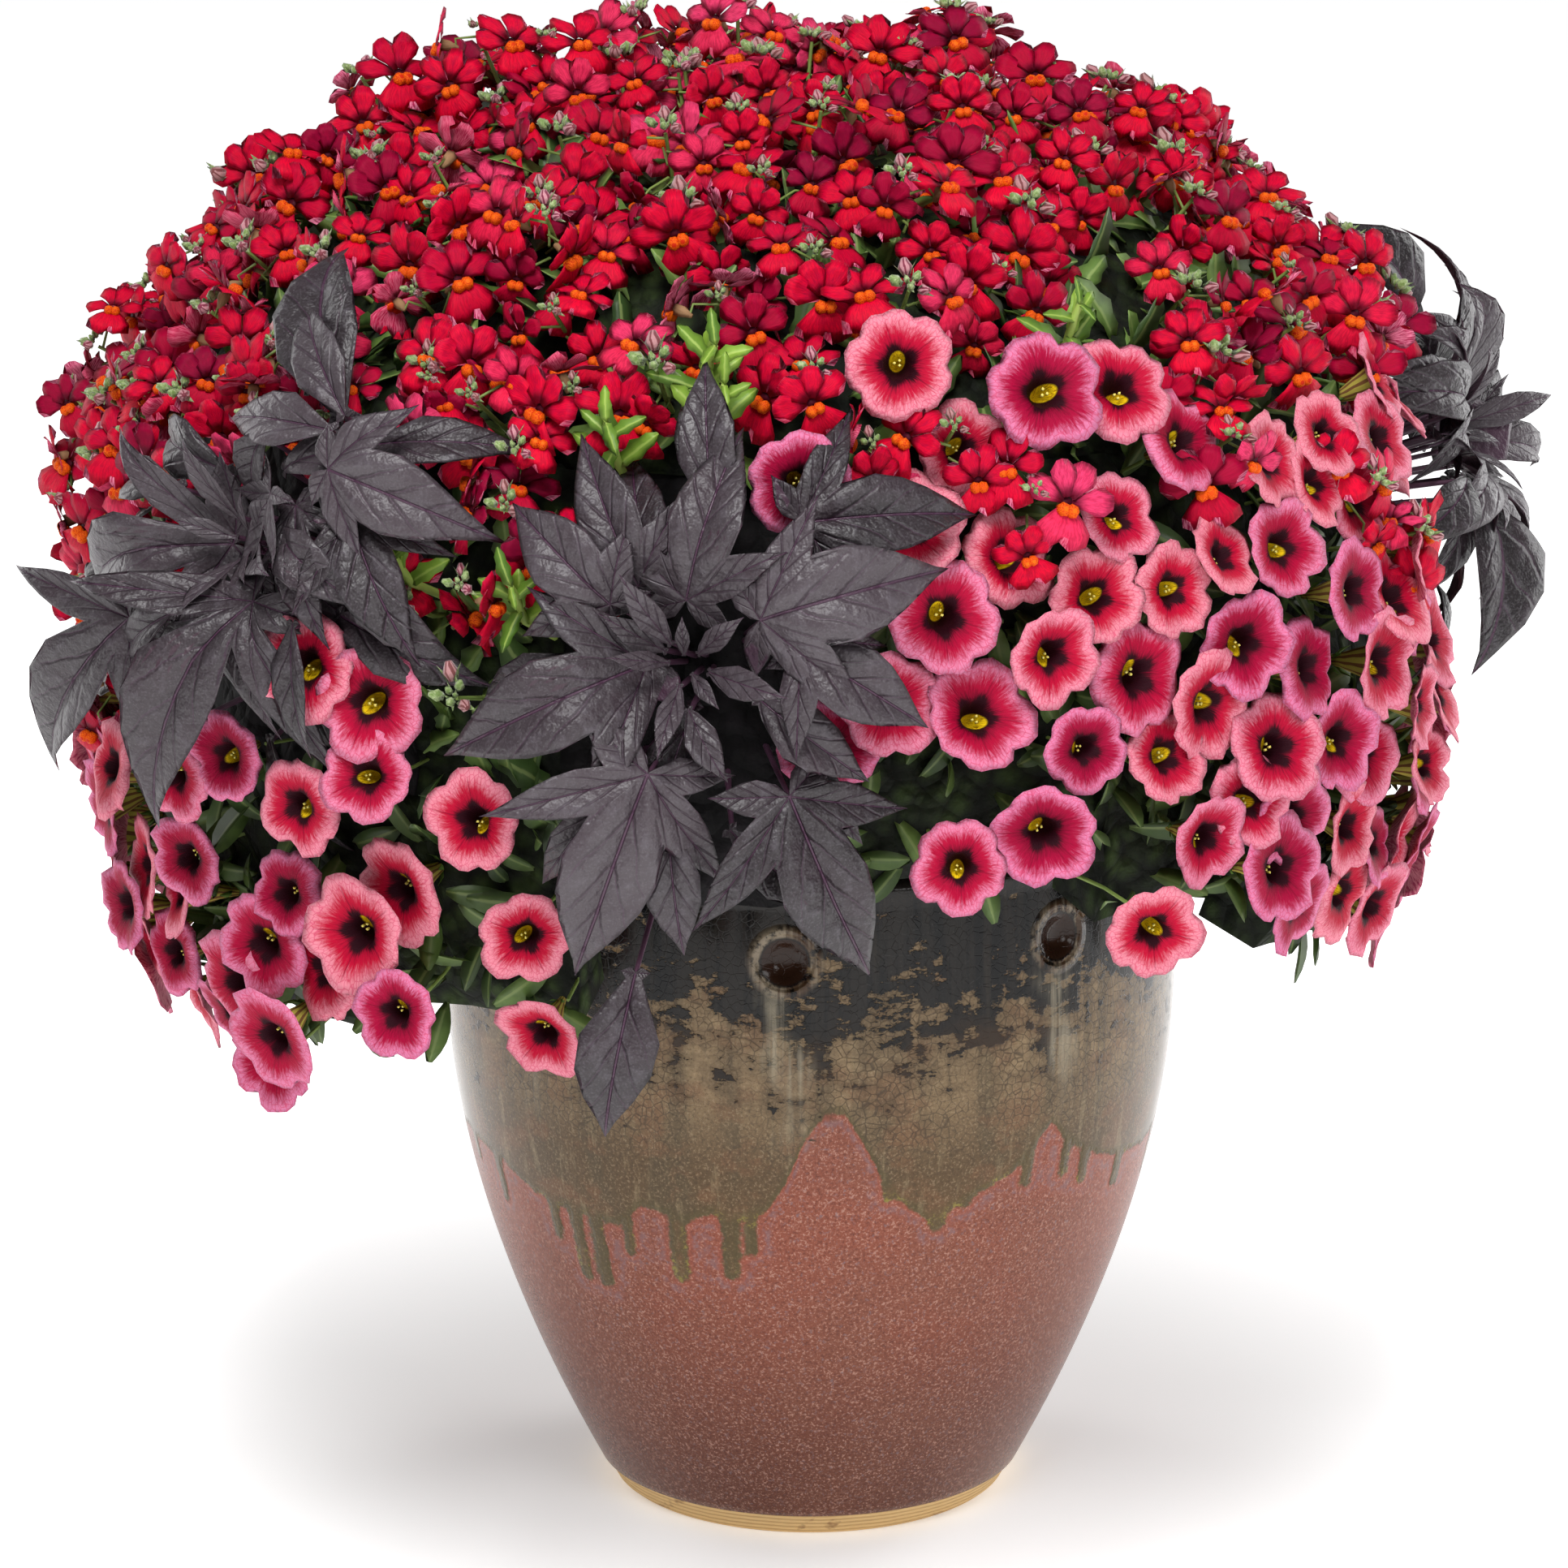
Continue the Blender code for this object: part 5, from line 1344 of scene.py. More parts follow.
def vine_piece(name, plan):
    """All the leaves of one vine, and its stalks. Each leaf is tilted its own way and droops to its tips."""
    middle = direction(*VINES[name]["tip"])
    stand, to_front = VINES[name]["stand"], VINES[name]["turn"]
    chance = random.Random(name)
    vine, shades_and_tints, stalks = Shape(), [], []
    for right_mm, up_mm, bearing_deg, length_mm, width, layer, lobed in plan:
        length = length_mm / 1000
        away = math.hypot(right_mm, up_mm) / 1000 / BLOOM_DISTANCE
        base = stepped(middle, math.atan2(right_mm, up_mm), away)
        bearing = math.radians(bearing_deg)
        roll, rise = chance.uniform(-0.50, 0.50), stand + chance.uniform(-0.10, 0.26)
        if layer > YOUNG_LAYER:
            rise += 0.6
        droop = chance.uniform(0.20, 0.50) + 0.5 * stand
        wave, phase = chance.uniform(0.010, 0.030), chance.uniform(0, 6)

        def laid(x, y, h):
            out = math.hypot(x, y)
            ripple = wave * math.sin(out / length * 9 + phase + (2 if x > 0 else 0)) * abs(x)
            tilt = roll * x + rise * y + ripple * 4 - droop * out * out / length
            tilt += to_front * (y * math.sin(bearing) + x * math.cos(bearing))
            return leaf_point(base, bearing, middle, layer, length, y, x, h + tilt)

        lobes = lobes_of(length, width, lobed, chance)
        # Painted shade: lower layers get a darker tint, as if in the shade of the leaves above, plus a random
        # tone
        tint = min(1.0, max(0.0, 0.15 * layer + chance.uniform(0.0, 0.60)))
        add_vine_leaf(vine, shades_and_tints, lobes, laid, tint)
        foot = place(base.lerp(middle, 0.25).normalized(), LEAFSTALK_FOOT)
        top = laid(0.0, 0.001, -0.0008)
        bend = (foot + top) / 2 + (top - MOUND).normalized() * 0.004
        stalks.append([(foot, 1.0), (bend, 0.85), (top, 0.7)])
    return vine.made(name + "_leaves", "blade", {"tint": shades_and_tints}), stalks


def placed_away(away, turn):
    """Right and up of a spot that lies away from a vine's tip, at a turn clockwise from up."""
    return away * math.sin(turn), away * math.cos(turn)


def under_leaves(name):
    """Plain leaves low in a vine, dark with painted shade, pointing away from its tip, and the young leaves
    round the tip.
    """
    vine = VINES[name]
    chance = random.Random(name + " under")
    middle = direction(*vine["tip"])
    up, right = tangents(middle)
    leaves = []
    for outward in lattice(0.034):
        draws = [chance.uniform(-1, 1) for _ in range(4)]
        away = outward.angle(middle) * BLOOM_DISTANCE * 1000
        if away > vine["reach"] or not any(in_cell(outward, cell, 1.0) for cell in vine["cells"]):
            continue
        off = outward - middle * middle.dot(outward)
        turn = math.atan2(off.dot(right), off.dot(up))
        if not vine["low_above"] and math.cos(turn) > 0.35:
            continue
        bearing = math.degrees(turn) + 35 * draws[0]
        # The low layer also gives these leaves a dark tint, as painted shade
        layer = -2 if away < 58 else -6
        width = 0.85 + 0.1 * draws[2]
        leaves.append((*placed_away(away, turn), bearing, 46 + 8 * draws[1], width, layer, False))
    for number in range(7):
        bearing = math.degrees(number * GOLDEN_ANGLE) % 360
        where = placed_away(3 + number * 0.9, math.radians(bearing))
        leaves.append((*where, bearing, 12 + 2.2 * number, 0.9, YOUNG_LAYER + 0.4 - 0.05 * number, False))
    return leaves


def rosette(name, count, inner=6, outer=32, layers=4, young=40, old=76):
    """Leaves round a growing tip, turned by the golden angle and longer lower down."""
    chance = random.Random(name)
    leaves = []
    for k in range(count):
        share = k / (count - 1)
        bearing = math.degrees(k * GOLDEN_ANGLE) % 360
        where = placed_away(inner + (outer - inner) * share, math.radians(bearing))
        length = young + (old - young) * share + chance.uniform(-4, 6)
        layer = round(layers * (1 - share))
        width = chance.uniform(0.8, 1.0)
        leaves.append((*where, bearing + chance.uniform(-12, 12), length, width, layer, k % 3 > 0))
    return leaves


# Pot


def pot_radius(z):
    """Outer radius of the pot at height z."""
    if z < BELLY_HEIGHT:
        share = (BELLY_HEIGHT - z) / BELLY_HEIGHT
        return BELLY_RADIUS - (BELLY_RADIUS - BASE_RADIUS) * share**BELLY_POWER
    share = (z - BELLY_HEIGHT) / (POT_HEIGHT - BELLY_HEIGHT)
    return BELLY_RADIUS - RIM_PULL_IN * share**2


def glaze_edge(azimuth, z):
    """How far inside the olive glaze a point of the pot lies, below 0 outside. Azimuth from -180 to 180."""
    angles, heights = zip(*GLAZE_EDGE)
    inside = z - float(np.interp(azimuth, angles, heights)) / 1000
    radius = pot_radius(z)
    total = math.exp(min(12.0, inside / GLAZE_FILLET))
    for centre, low, half in GLAZE_RUNS:
        across = math.radians((azimuth - centre + 180) % 360 - 180) * radius
        width = half * 0.0013
        if abs(across) < 0.030:
            below = max(0.0, low / 1000 + width - z)
            total += math.exp(min(12.0, (width - math.hypot(across, below)) / GLAZE_FILLET))
    return GLAZE_FILLET * math.log(max(total, 1e-9))


def pot_profile():
    """The pot's section as (radius, height): up the outside from the foot, over the lip and down inside."""
    heights = [0.0, 0.0012, FOOT_HEIGHT - 0.0004, FOOT_HEIGHT + 0.0004, FOOT_HEIGHT + 0.003]
    heights += [FOOT_HEIGHT + 0.003 + (0.096 - FOOT_HEIGHT) * k / 16 for k in range(1, 17)]
    heights += [0.101 + 0.0022 * k for k in range(44)]
    heights += [0.1985 + 0.0024 * k for k in range(29)]
    profile = []
    for z in heights:
        inset = 0.0014 if z < FOOT_HEIGHT else 0.0
        if z == 0.0:
            inset = 0.0022
        profile.append((pot_radius(z) - inset, z))
    lip = pot_radius(POT_HEIGHT)
    for k in range(9):
        turn = math.pi * (k / 8) * 0.98 - 0.2
        out, up = LIP_ROUND * math.cos(turn), LIP_ROUND * math.sin(turn)
        profile.append((lip - 0.002 + out, POT_HEIGHT - LIP_ROUND + up))
    profile += [(lip - WALL, POT_HEIGHT - 0.010), (lip - WALL, SOIL_TOP - 0.004)]
    profile += [(pot_radius(z) - WALL, z) for z in (0.2, 0.15, 0.1, 0.06, 0.03)]
    return profile + [(0.070, FLOOR)]


def make_pot():
    """The pot turned from its profile, with its thumb dimples. Its front has the finer columns."""
    turns = [math.radians(-100 + k) for k in range(200)]
    turns += [math.radians(100 + 160 * k / 72) for k in range(72)]
    sides = len(turns)
    profile = pot_profile()
    dimple_step = 360 / DIMPLES
    outer = pot_radius(POT_HEIGHT) - 0.004
    points, faces, inside, runs, dimple = [], [], [], [], []
    for radius, z in profile:
        for turn in turns:
            azimuth = math.degrees(turn)
            signed = (azimuth + 180) % 360 - 180
            away, halo, run = radius, FAR, 0.0
            nearest = round((azimuth - DIMPLE_FIRST_AZIMUTH) / dimple_step)
            across = math.radians(azimuth - DIMPLE_FIRST_AZIMUTH - dimple_step * nearest) * radius
            if radius > outer:
                halo = math.hypot(across, z - DIMPLE_HEIGHT)
                away -= DIMPLE_DEPTH * smooth(DIMPLE_RADIUS - halo, -0.0005, 0.0065)
                below = smooth(DIMPLE_HEIGHT - z, 0.008, 0.02) * smooth(z, 0.165, 0.215)
                wide = 0.007 + 0.003 * math.sin(z * 190 + nearest % DIMPLES)
                run = below * smooth(wide - abs(across + 0.004 * math.sin(z * 60)), -0.002, 0.005)
            points.append(Vector((away * math.sin(turn), -away * math.cos(turn), z)))
            inside.append(glaze_edge(signed, z) if radius > 0.05 else FAR)
            runs.append(run)
            dimple.append(halo)
    for i in range(len(profile) - 1):
        for k in range(sides):
            a, b = i * sides + k, i * sides + (k + 1) % sides
            faces.append([a, b, b + sides, a + sides])
    last = (len(profile) - 1) * sides
    base = len(points)
    points += [Vector((0, 0, 0.0006)), Vector((0, 0, FLOOR))]
    for values in (inside, runs, dimple):
        values += [FAR, FAR]
    for k in range(sides):
        faces.append([base, (k + 1) % sides, k])
        faces.append([base + 1, last + k, last + (k + 1) % sides])
    attributes = {"drip_edge": inside, "runs": runs, "dimple": dimple}
    pot = mesh_object("pot_body", points, faces, attributes=attributes)
    kept("glazed_pot", pot, make_glaze(), ["pot"])


# Leafy mass


def cell_directions(cell, across_step, down_step, least):
    """A grid of directions over a cell: a row for each azimuth, from the lowest polar angle on."""
    azimuth_0, azimuth_1, polar_0, polar_1 = cell
    across = max(least, round((azimuth_1 - azimuth_0) / across_step))
    down = max(least, round((polar_1 - polar_0) / down_step))
    azimuths = [azimuth_0 + (azimuth_1 - azimuth_0) * i / across for i in range(across + 1)]
    polars = [polar_0 + (polar_1 - polar_0) * j / down for j in range(down + 1)]
    return [[direction(azimuth, polar) for polar in polars] for azimuth in azimuths]


def core_mesh(name, cells, bump_seed):
    """A closed lumpy slab over the cells of a foliage."""
    points, faces = [], []
    for cell in cells:
        rows = cell_directions(cell, 3.0, 2.5, 4)
        across, down = len(rows) - 1, len(rows[0]) - 1
        first = len(points)
        for inner in (False, True):
            for outward in (outward for row in rows for outward in row):
                lumps = math.sin(outward.x * 61 + bump_seed) + math.sin(outward.y * 53 + 2 * bump_seed)
                lumps += math.sin(outward.z * 67 + outward.x * 31)
                points.append(place(outward, CORE_INNER if inner else CORE_OUTER + 0.0016 * lumps))

        def at(i, j, side):
            return first + (side * (across + 1) + i) * (down + 1) + j

        for corners in grid_cells(across + 1, down + 1):
            faces.append([at(i, j, 0) for i, j in corners])
            faces.append([at(i, j, 1) for i, j in (corners[0], *corners[:0:-1])])
        border = [(i, 0) for i in range(across)] + [(across, j) for j in range(down)]
        border += [(i, down) for i in range(across, 0, -1)] + [(0, j) for j in range(down, 0, -1)]
        for (i, j), (k, m) in zip(border, border[1:] + border[:1]):
            faces.append([at(i, j, 0), at(k, m, 0), at(k, m, 1), at(i, j, 1)])
    return mesh_object(name, points, faces)


def surface_mesh(name, cells, distance):
    """The outer surface over the cells, for leaves to be scattered on."""
    points, faces = [], []
    for cell in cells:
        rows = cell_directions(cell, 4.0, 4.0, 3)
        columns = len(rows[0])
        first = len(points)
        points += [place(outward, distance) for row in rows for outward in row]
        for corners in grid_cells(len(rows), columns):
            faces.append([first + i * columns + j for i, j in corners])
    return mesh_object(name, points, faces)


# Planning the flowers


def lattice(spacing):
    """Directions spread evenly over a ball by the golden angle."""
    count = round(4 * math.pi * (BLOOM_DISTANCE / spacing) ** 2)
    found = []
    for k in range(count):
        z = 1 - (2 * k + 1) / count
        level = math.sqrt(1 - z * z)
        found.append(Vector((level * math.cos(k * GOLDEN_ANGLE), level * math.sin(k * GOLDEN_ANGLE), z)))
    return found


def shifted(outward, chance, spacing, most):
    """A direction moved any way by up to a share of the spacing."""
    turn, share = chance.uniform(0, math.tau), chance.uniform(0, most)
    return stepped(outward, turn, share * spacing / BLOOM_DISTANCE)


def home_of(outward, cells):
    """The number of the cell that a direction lies in or is nearest to, or None beyond a cell's own reach."""
    for margin in (-0.7, -3.0, -6.0, -10.0, -15.0, -20.0):
        for number, cell in enumerate(cells):
            if in_cell(outward, cell, margin):
                return number
    return None


def point_tree(points):
    """A tree that finds the nearest of the points."""
    tree = KDTree(len(points))
    for number, point in enumerate(points):
        tree.insert(point, number)
    tree.balance()
    return tree


def nemesia_shoots(chance):
    """The top of every nemesia shoot, with its number of flowers."""
    shoots = []
    for outward in lattice(SHOOT_SPACING):
        outward = shifted(outward, chance, SHOOT_SPACING, 0.40)
        if any(in_cell(outward, cell, -0.7) for cell in NEMESIA_CELLS):
            distance = SHOOT_DISTANCE + chance.uniform(-0.006, 0.008)
            shoots.append((place(outward, distance), chance.choice((4, 4, 5, 5))))
    shoots += [(place(direction(*spot), STRAY_SHOOT_DISTANCE), 3) for spot in STRAY_SHOOTS]
    return shoots + [(Vector(spot) / 1000, 4) for spot in SPRAYS]


def plan_nemesias(leaves, taken):
    """Nemesias in loose heads. Each shoot has buds at its top and open flowers round the stem below them."""
    chance = random.Random("nemesia")
    blooms, buds, lines = [], [], []
    for top, count in nemesia_shoots(chance):
        draws = [chance.uniform(-1, 1) for _ in range(8)]
        outward = (top - MOUND).normalized()
        if leaves.find(top)[2] < SHOOT_CLEARANCE or taken.find(top)[2] < SHOOT_ROOM:
            continue
        axis = (outward + Vector((0.25 * draws[3], 0.25 * draws[4], 0.55))).normalized()
        side_a = axis.cross(Vector((0.3, 1, 0.2))).normalized()
        side_b = axis.cross(side_a)
        foot = place(outward, STALK_FOOT)
        bend = foot.lerp(top, 0.5) - axis * 0.004 + outward * 0.003
        lines.append([(foot, 1.5), (bend, 1.3), (top, 1.0)])
        buds.append((top, axis, draws[5]))
        polar = math.degrees(outward.angle(UP))
        for k in range(count):
            turn = k * GOLDEN_ANGLE + draws[6] * math.pi
            side = side_a * math.cos(turn) + side_b * math.sin(turn)
            if side.dot(outward) < -0.15 and outward.z < 0.77:
                side = (side - outward * 1.5 * side.dot(outward)).normalized()
            joint = top - axis * (0.002 + 0.0052 * k)
            at = joint + side * (0.0130 + 0.0015 * k + 0.003 * chance.uniform(-1, 1))
            facing = side * 0.55 + outward * 0.42 + UP * 0.12
            if chance.random() < FACING_AWAY:
                facing = side * 0.9 - outward * 0.15 + UP * 0.35
            else:
                facing += Vector((0, -0.50, 0)) * smooth(0.3 - outward.y, 0, 0.5)
            facing += Vector([chance.uniform(-0.32, 0.32) for _ in range(3)])
            facing.normalize()
            if leaves.find(at)[2] < NEMESIA_CLEARANCE or taken.find(at)[2] < NEMESIA_ROOM:
                continue
            home = home_of((at - MOUND).normalized(), NEMESIA_CELLS)
            roll = chance.uniform(-1, 1)
            blooms.append({"home": home, "at": at, "facing": facing, "roll": roll, "polar": polar})
            crook = joint.lerp(at, 0.6) + UP * 0.001
            lines.append([(joint, 0.8), (crook, 0.7), (at - facing * 0.006, 0.6)])
    return blooms, buds, lines


def plan_calibrachoas(leaves):
    """Every calibrachoa's place and facing: spread over its cells, with strays where the photo has them."""
    chance = random.Random("calibrachoa")
    starts = []
    for outward in lattice(CALIBRACHOA_SPACING):
        outward = shifted(outward, chance, CALIBRACHOA_SPACING, 0.30)
        if in_cell(outward, HEM_GAP):
            continue
        if any(in_cell(outward, cell, -0.7) for cell in CALIBRACHOA_CELLS):
            starts.append((outward, False))
    starts += [(direction(*spot), True) for spot in STRAY_CALIBRACHOAS]
    rooms = stray_rooms()
    blooms, lines = [], []
    for outward, stray in starts:
        draws = [chance.uniform(-1, 1) for _ in range(6)]
        distance, clearance = CALIBRACHOA_DISTANCE, CALIBRACHOA_CLEARANCE
        if stray:
            distance, clearance = STRAY_CALIBRACHOA_DISTANCE, STRAY_CALIBRACHOA_CLEARANCE
        centre = place(outward, distance + 0.006 * draws[0])
        if leaves.find(centre)[2] < clearance:
            continue
        if not stray and rooms.find(centre)[2] < CALIBRACHOA_ROOM:
            continue
        level = Vector((outward.x, outward.y, 0))
        facing = outward + level * 0.35 + Vector(draws[1:4]) * 0.34 + UP * 0.12
        if stray and outward.y < 0:
            facing += Vector((0, -0.5, 0))
        facing.normalize()
        home = home_of(outward, CALIBRACHOA_CELLS)
        blooms.append({"home": home, "at": centre, "facing": facing, "roll": draws[4], "polar": 90})
        top = centre - facing * 0.018
        foot = place(outward, STALK_FOOT)
        lines.append([(top, 1.0), (top.lerp(foot, 0.45) - facing * 0.004, 1.0), (foot, 1.2)])
    return blooms, lines


def stray_rooms():
    """Where no other flower comes, because a single calibrachoa stands there."""
    return point_tree([place(direction(*spot), KEPT_ROOM_DISTANCE) for spot in STRAY_CALIBRACHOAS])


def bloom_spots(blooms, size, sway, roll_share, picks, seed):
    """The blooms as points for the bloom tree."""
    chance = random.Random(seed)
    spots = []
    for bloom in blooms:
        facing = bloom["facing"]
        on_top = bloom["polar"] < 14 and abs(facing.z) > 0.8
        side = (Vector((0, 1, 0.2)) if on_top else UP).cross(facing).normalized()
        top = facing.cross(side)
        angle = bloom["roll"] * roll_share
        turned_up = top * math.cos(angle) + side * math.sin(angle)
        own_size, tint = size * chance.uniform(1 - sway, 1 + sway), chance.random()
        spots.append(spot_of(bloom["at"], facing, turned_up, own_size, tint, chance.randrange(picks)))
    return spots


# The planting


def make_vines(stalk_tree):
    """The four vines. Gives the points of their leaves, so that flowers keep clear of them."""
    leaf_finish, stem_finish = make_vine_leaf(), make_vine_stem()
    # The vines' cores are painted shade, dark as the depths under their leaves
    shade_core_finish = make_painted_shade_core("vine_core", (10, 9, 10), (28, 24, 27))
    plans = {
        "vine_front": FRONT_LEAVES,
        "vine_left": LEFT_LEAVES,
        "vine_right": rosette("vine_right", 13, outer=26, young=34, old=60),
        "vine_back": rosette("vine_back", 12),
    }
    leaf_points = []
    for name, vine in VINES.items():
        leaves, stalks = vine_piece(name, [*plans[name], *under_leaves(name)])
        leaf_points += [v.co.copy() for v in leaves.data.vertices][::3]
        kept(name + "_leafage", leaves, leaf_finish, [name])
        kept_stalks(name + "_leafstalks", stalks, stem_finish, stalk_tree, 0.0012, 8)
        kept(name + "_tangle", core_mesh(name + "_core", vine["cells"], 1.0), shade_core_finish)
    return leaf_points


def make_foliage(foliages, shapes, finish, shade_core_finish, leafing_tree):
    """The masses of one plant's foliage, each with a core painted dark as shade and the leaves over it."""
    sizes = {"Density": 5600.0, "Size": 0.022, "Size Sway": 0.3, "Slant": 0.75, "Slant Sway": 0.55}
    for number, (name, cells) in enumerate(foliages.items()):
        core = core_mesh(name + "_core", cells, number + 2.0)
        kept(name + "_tangle", core, shade_core_finish, [name])
        surface = surface_mesh(name + "_surface", cells, CORE_OUTER - 0.001)
        values = {"Shapes": shapes, **sizes, "Seed": 11 + number}
        kept(name + "_leaves", surface, finish, tree=leafing_tree, values=values)


def make_heads(kind, cells, blooms, shapes, petal, size, sway, roll, bloom_tree):
    """The bloom heads of one plant, one piece for each cell."""
    for number in range(len(cells)):
        own = [bloom for bloom in blooms if bloom["home"] == number]
        spots = points_object(bloom_spots(own, size, sway, roll, 6, f"{kind} {number}"))
        values = {"Shapes": shapes, "Size": 1.0, "Size Sway": 0.0, "Seed": 100 + number}
        node = f"{kind}_head_{number + 1:02d}"
        kept(f"{kind}_blooms_{number + 1:02d}", spots, petal, [node], bloom_tree, values)


def make_planting():
    """The vines first, because the flowers keep clear of their leaves, then foliage, flowers and stems."""
    bloom_tree, leafing_tree, stalk_tree = make_bloom_tree(), make_leafing_tree(), make_stalk_tree()
    stem_green = make_stem_green()
    leaves = point_tree(make_vines(stalk_tree))

    # The flowers' green cores are painted shade, dark as the depths under their leaves
    green_core = make_painted_shade_core("green_core", (10, 14, 7), (44, 58, 26))
    nemesia_green = leafy("nemesia_leaf", (48, 72, 32), (112, 142, 66), (150, 168, 100))
    calibrachoa_green = leafy("calibrachoa_leaf", (44, 62, 30), (92, 116, 56), (124, 140, 84))
    nemesia_leaves = shape_set("nemesia_leaf", small_leaf, 3, 0, 0.17, 0.16, 1.0)
    spoon_leaves = shape_set("spoon_leaf", small_leaf, 3, 10, 0.17, 0.0, 1.25)
    make_foliage(NEMESIA_FOLIAGE, nemesia_leaves, nemesia_green, green_core, leafing_tree)
    make_foliage(CALIBRACHOA_FOLIAGE, spoon_leaves, calibrachoa_green, green_core, leafing_tree)

    calibrachoas, calibrachoa_lines = plan_calibrachoas(leaves)
    nemesias, buds, nemesia_lines = plan_nemesias(leaves, stray_rooms())
    shapes = shape_set("nemesia_bloom", nemesia_bloom, 6, 0)
    petal = make_nemesia_petal()
    make_heads("nemesia", NEMESIA_CELLS, nemesias, shapes, petal, NEMESIA_SIZE, 0.16, 0.5, bloom_tree)
    shapes = shape_set("calibrachoa_bloom", calibrachoa_bloom, 6, 40)
    petal = make_calibrachoa_petal()
    sizes = (CALIBRACHOA_SIZE, 0.13, math.pi)
    make_heads("calibrachoa", CALIBRACHOA_CELLS, calibrachoas, shapes, petal, *sizes, bloom_tree)

    for kind, lines in (("calibrachoa", calibrachoa_lines), ("nemesia", nemesia_lines)):
        kept_stalks(kind + "_stalks", lines, stem_green, stalk_tree, 0.0007, 5)
    make_buds(buds, bloom_tree)
    make_shoots(bloom_tree, stalk_tree, nemesia_leaves)
    make_stems(stalk_tree, stem_green)


def make_buds(buds, bloom_tree):
    """A cluster of buds on top of each nemesia shoot."""
    chance = random.Random("buds")
    spots = []
    for top, axis, draw in buds:
        size = BUDS_SIZE * (1 + 0.25 * draw)
        spots.append(spot_of(top, axis, Vector((0.1, 0.3, 1)), size, abs(draw), chance.randrange(3)))
    shapes = shape_set("bud_cluster", bud_cluster, 3, 70)
    values = {"Shapes": shapes, "Size": 1.0, "Size Sway": 0.15, "Seed": 5}
    kept("nemesia_buds", points_object(spots), make_bud(), tree=bloom_tree, values=values)


def make_shoots(bloom_tree, stalk_tree, leaf_shapes):
    """Young shoots of fresh green with paired leaves, that stand out between the flowers."""
    chance = random.Random("shoots")
    fresh = leafy("fresh_leaf", (78, 112, 34), (136, 168, 58), (172, 192, 96))
    spots, lines = [], []
    for azimuth, polar, lean in GREEN_SHOOTS:
        outward = direction(azimuth, polar)
        up, right = tangents(outward)
        foot, top = place(outward, 0.228), place(outward, 0.270) + up * 0.016 + right * 0.014 * lean
        bend = foot.lerp(top, 0.55) + outward * 0.006 - up * 0.004
        crook = foot.lerp(top, 0.85) + outward * 0.003
        lines.append([(foot, 1.3), (bend, 1.2), (crook, 1.1), (top, 0.8)])
        for number in range(8):
            pair, hand = number // 2, 1 if number % 2 else -1
            side = right * hand + up * (0.5 + 0.5 * chance.uniform(-1, 1)) + outward * 0.6
            if pair % 2:
                side = up * hand + outward * 0.7 + right * chance.uniform(-0.5, 0.5)
            at, facing = bend.lerp(top, pair / 3), side.normalized()
            size, tint = 0.019 - 0.003 * pair * chance.uniform(0.6, 1.2), chance.random()
            spots.append(spot_of(at, facing, outward, size, tint, chance.randrange(3)))
    values = {"Shapes": leaf_shapes, "Size": 1.0, "Size Sway": 0.1, "Seed": 8}
    kept("green_shoot_leaves", points_object(spots), fresh, tree=bloom_tree, values=values)
    kept_stalks("green_shoot_stems", lines, fresh, stalk_tree, 0.0013, 8)


def make_stems(stalk_tree, stem_green):
    """The plants' stems, up out of the potting mix into the leafy mass."""
    lines = []
    for azimuth, polar, soil_radius in STEMS:
        start = place(direction(azimuth, polar), 0.212)
        entry = direction(azimuth, 90) * soil_radius
        turn = Vector((entry.x, entry.y, 0.285))
        foot = Vector((entry.x, entry.y, 0.235))
        middle = start.lerp(turn, 0.5) + UP * 0.006
        lines.append([(foot, 1.2), (turn, 1.1), (middle, 1.0), (start, 0.9)])
    kept_stalks("stems", lines, stem_green, stalk_tree, 0.0026, 10)


def remove_shapes():
    """Removes the shapes that the trees picked from, and their collections."""
    for group in list(bpy.data.collections):
        for shape in list(group.objects):
            if "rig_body" not in shape:
                bpy.data.objects.remove(shape)
        if not group.objects:
            bpy.data.collections.remove(group)


# Stage, light and camera


def area_light(name, place_at, width, height, power):
    """A soft light of a size in metres and a power in watts, aimed at the planting's middle."""
    light = bpy.data.lights.new(name, "AREA")
    light.shape = "RECTANGLE"
    light.size, light.size_y = width, height
    light.energy = power
    lamp = linked(name, light)
    lamp.location = place_at
    lamp.rotation_euler = (LIGHTS_AIM - lamp.location).to_track_quat("-Z", "Y").to_euler()


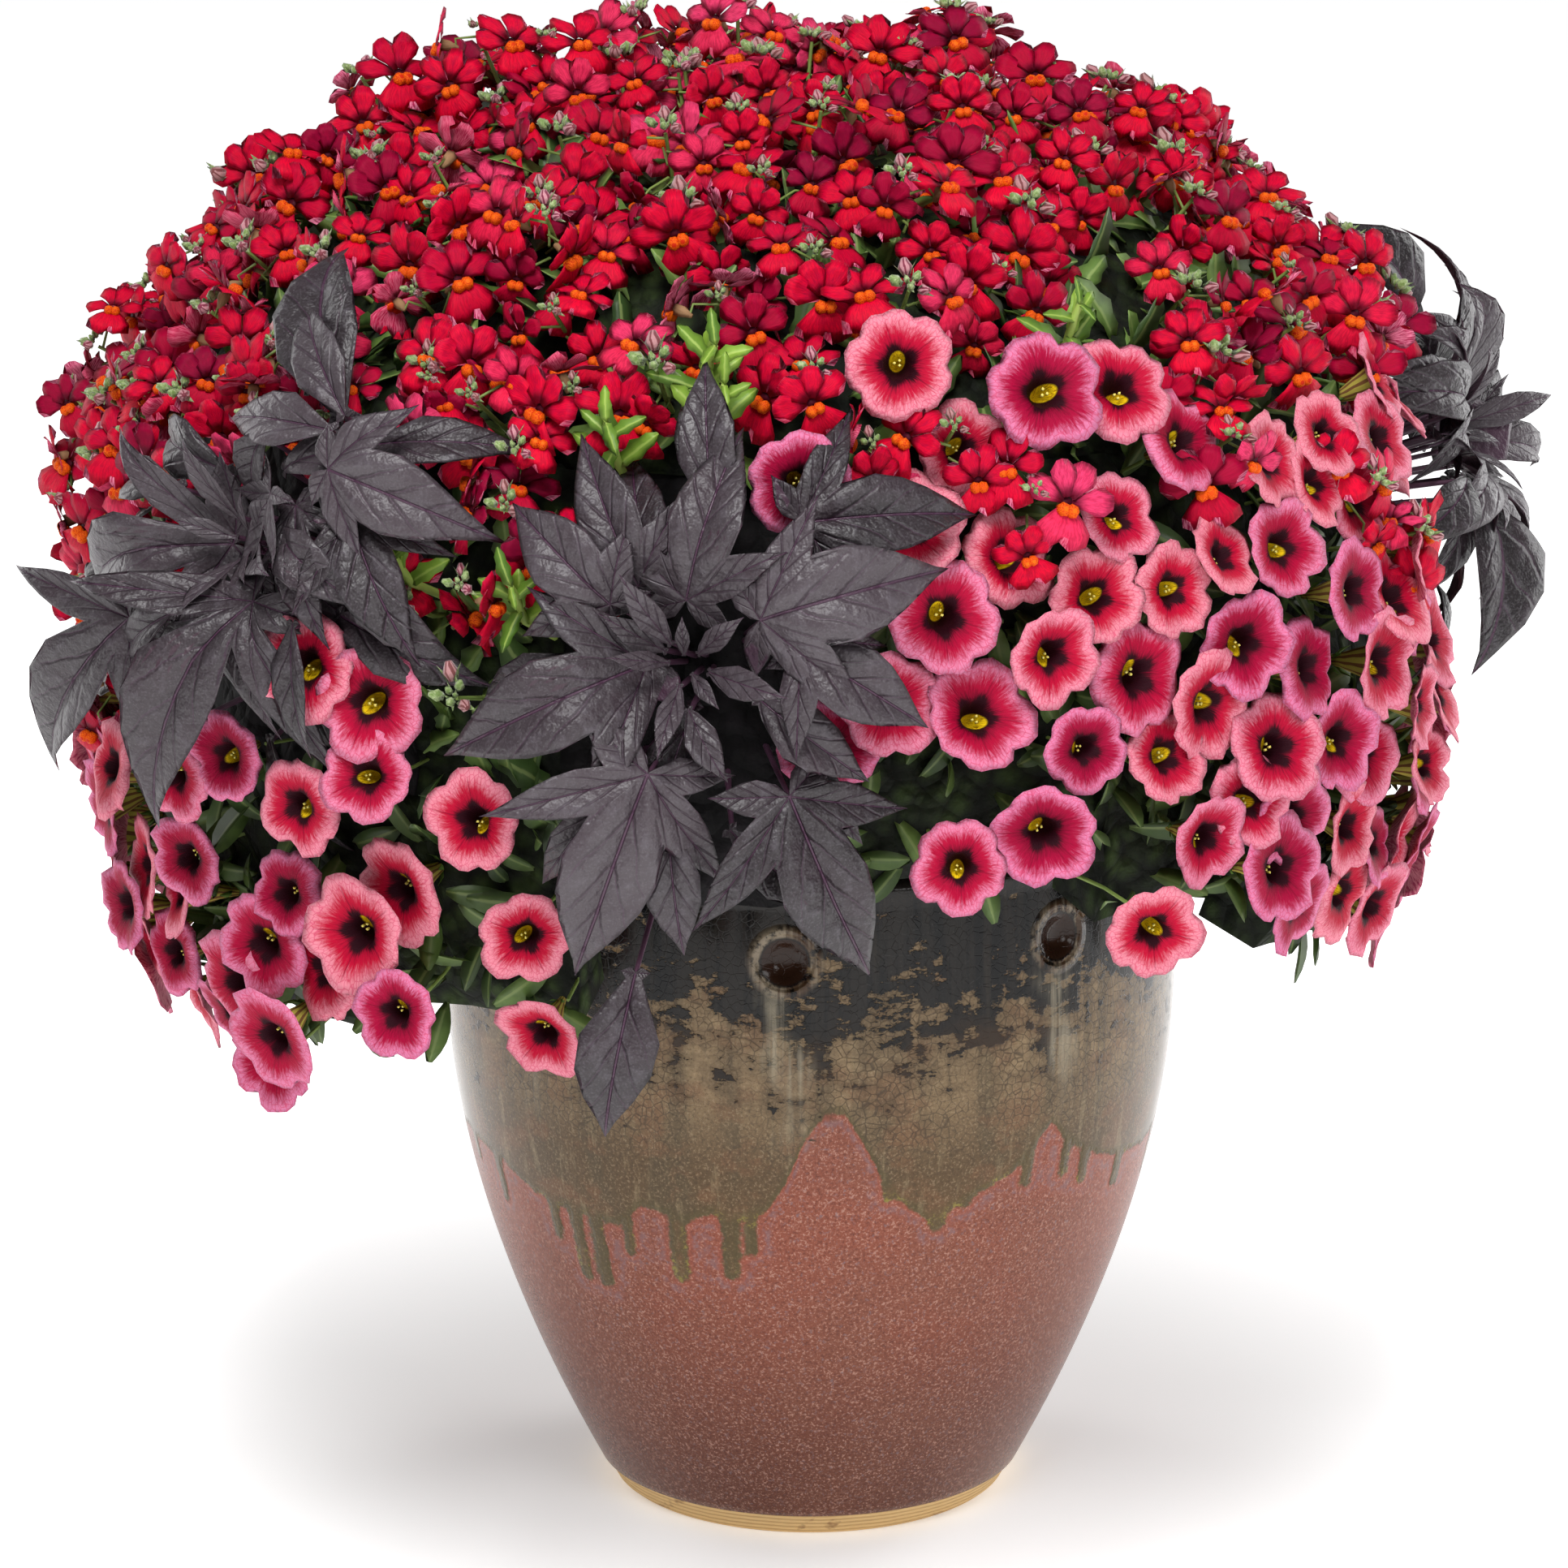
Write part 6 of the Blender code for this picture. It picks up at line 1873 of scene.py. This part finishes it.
def make_stage():
    """A pale floor that glows as painted light, more away from the pot, so that it fades to white and keeps
    cast shadow only near the foot; a dim white world and four soft lights.
    """
    points = [(x * FLOOR_REACH, y * FLOOR_REACH, 0) for x, y in ((-1, -1), (1, -1), (1, 1), (-1, 1))]
    floor = mesh_object("floor", points, [[0, 1, 2, 3]], smooth_faces=False)
    f = Finish("pale_floor", 0.7)
    f.shader.inputs["Base Color"].default_value = (0.90, 0.90, 0.90, 1.0)
    f.shader.inputs["Emission Color"].default_value = (1.0, 1.0, 1.0, 1.0)
    x, y, _ = f.parts(f.point())
    # Painted light: the floor glows dimly near the pot and brightly beyond half a metre, washing out cast
    # shadows there and lighting the pot from below
    painted_floor_glow = (x * x + y * y).maths("SQRT").step(0.12, 0.50) * 0.58 + 0.28
    f.tree.links.new(painted_floor_glow.socket, f.shader.inputs["Emission Strength"])
    floor.data.materials.append(f.material)
    world = bpy.data.worlds.new("studio")
    world.use_nodes = True
    back = world.node_tree.nodes["Background"]
    back.inputs[0].default_value = (1.0, 1.0, 1.0, 1.0)
    back.inputs[1].default_value = 0.12
    bpy.context.scene.world = world
    area_light("left_softbox", (-1.55, 1.10, 0.75), 0.8, 1.8, 16)
    area_light("right_softbox", (1.55, 1.10, 0.75), 0.8, 1.8, 25)
    area_light("top_softbox", (-0.2, -1.2, 2.0), 0.9, 0.9, 44)
    area_light("front_fill", (1.3, -2.1, 1.1), 1.0, 1.0, 15)


def make_camera():
    """The photo's camera, which looks slightly down at the planting."""
    data = bpy.data.cameras.new("photo_camera")
    data.sensor_width = SENSOR_WIDTH
    data.lens = SENSOR_WIDTH * CAMERA_DISTANCE / FRAME_WIDTH
    camera = linked("photo_camera", data)
    e = math.radians(CAMERA_ELEVATION)
    away = Vector((0, -math.cos(e), math.sin(e)))
    camera.location = CAMERA_TARGET + away * CAMERA_DISTANCE
    camera.rotation_euler = (-away).to_track_quat("-Z", "Y").to_euler()
    bpy.context.scene.camera = camera


make_camera()
make_stage()
make_pot()
soil_finish = make_soil()
for material_slot in frame["nodes"]["soil"].material_slots:
    material_slot.material = soil_finish
make_planting()
remove_shapes()
bpy.context.scene.view_settings.view_transform = "Standard"
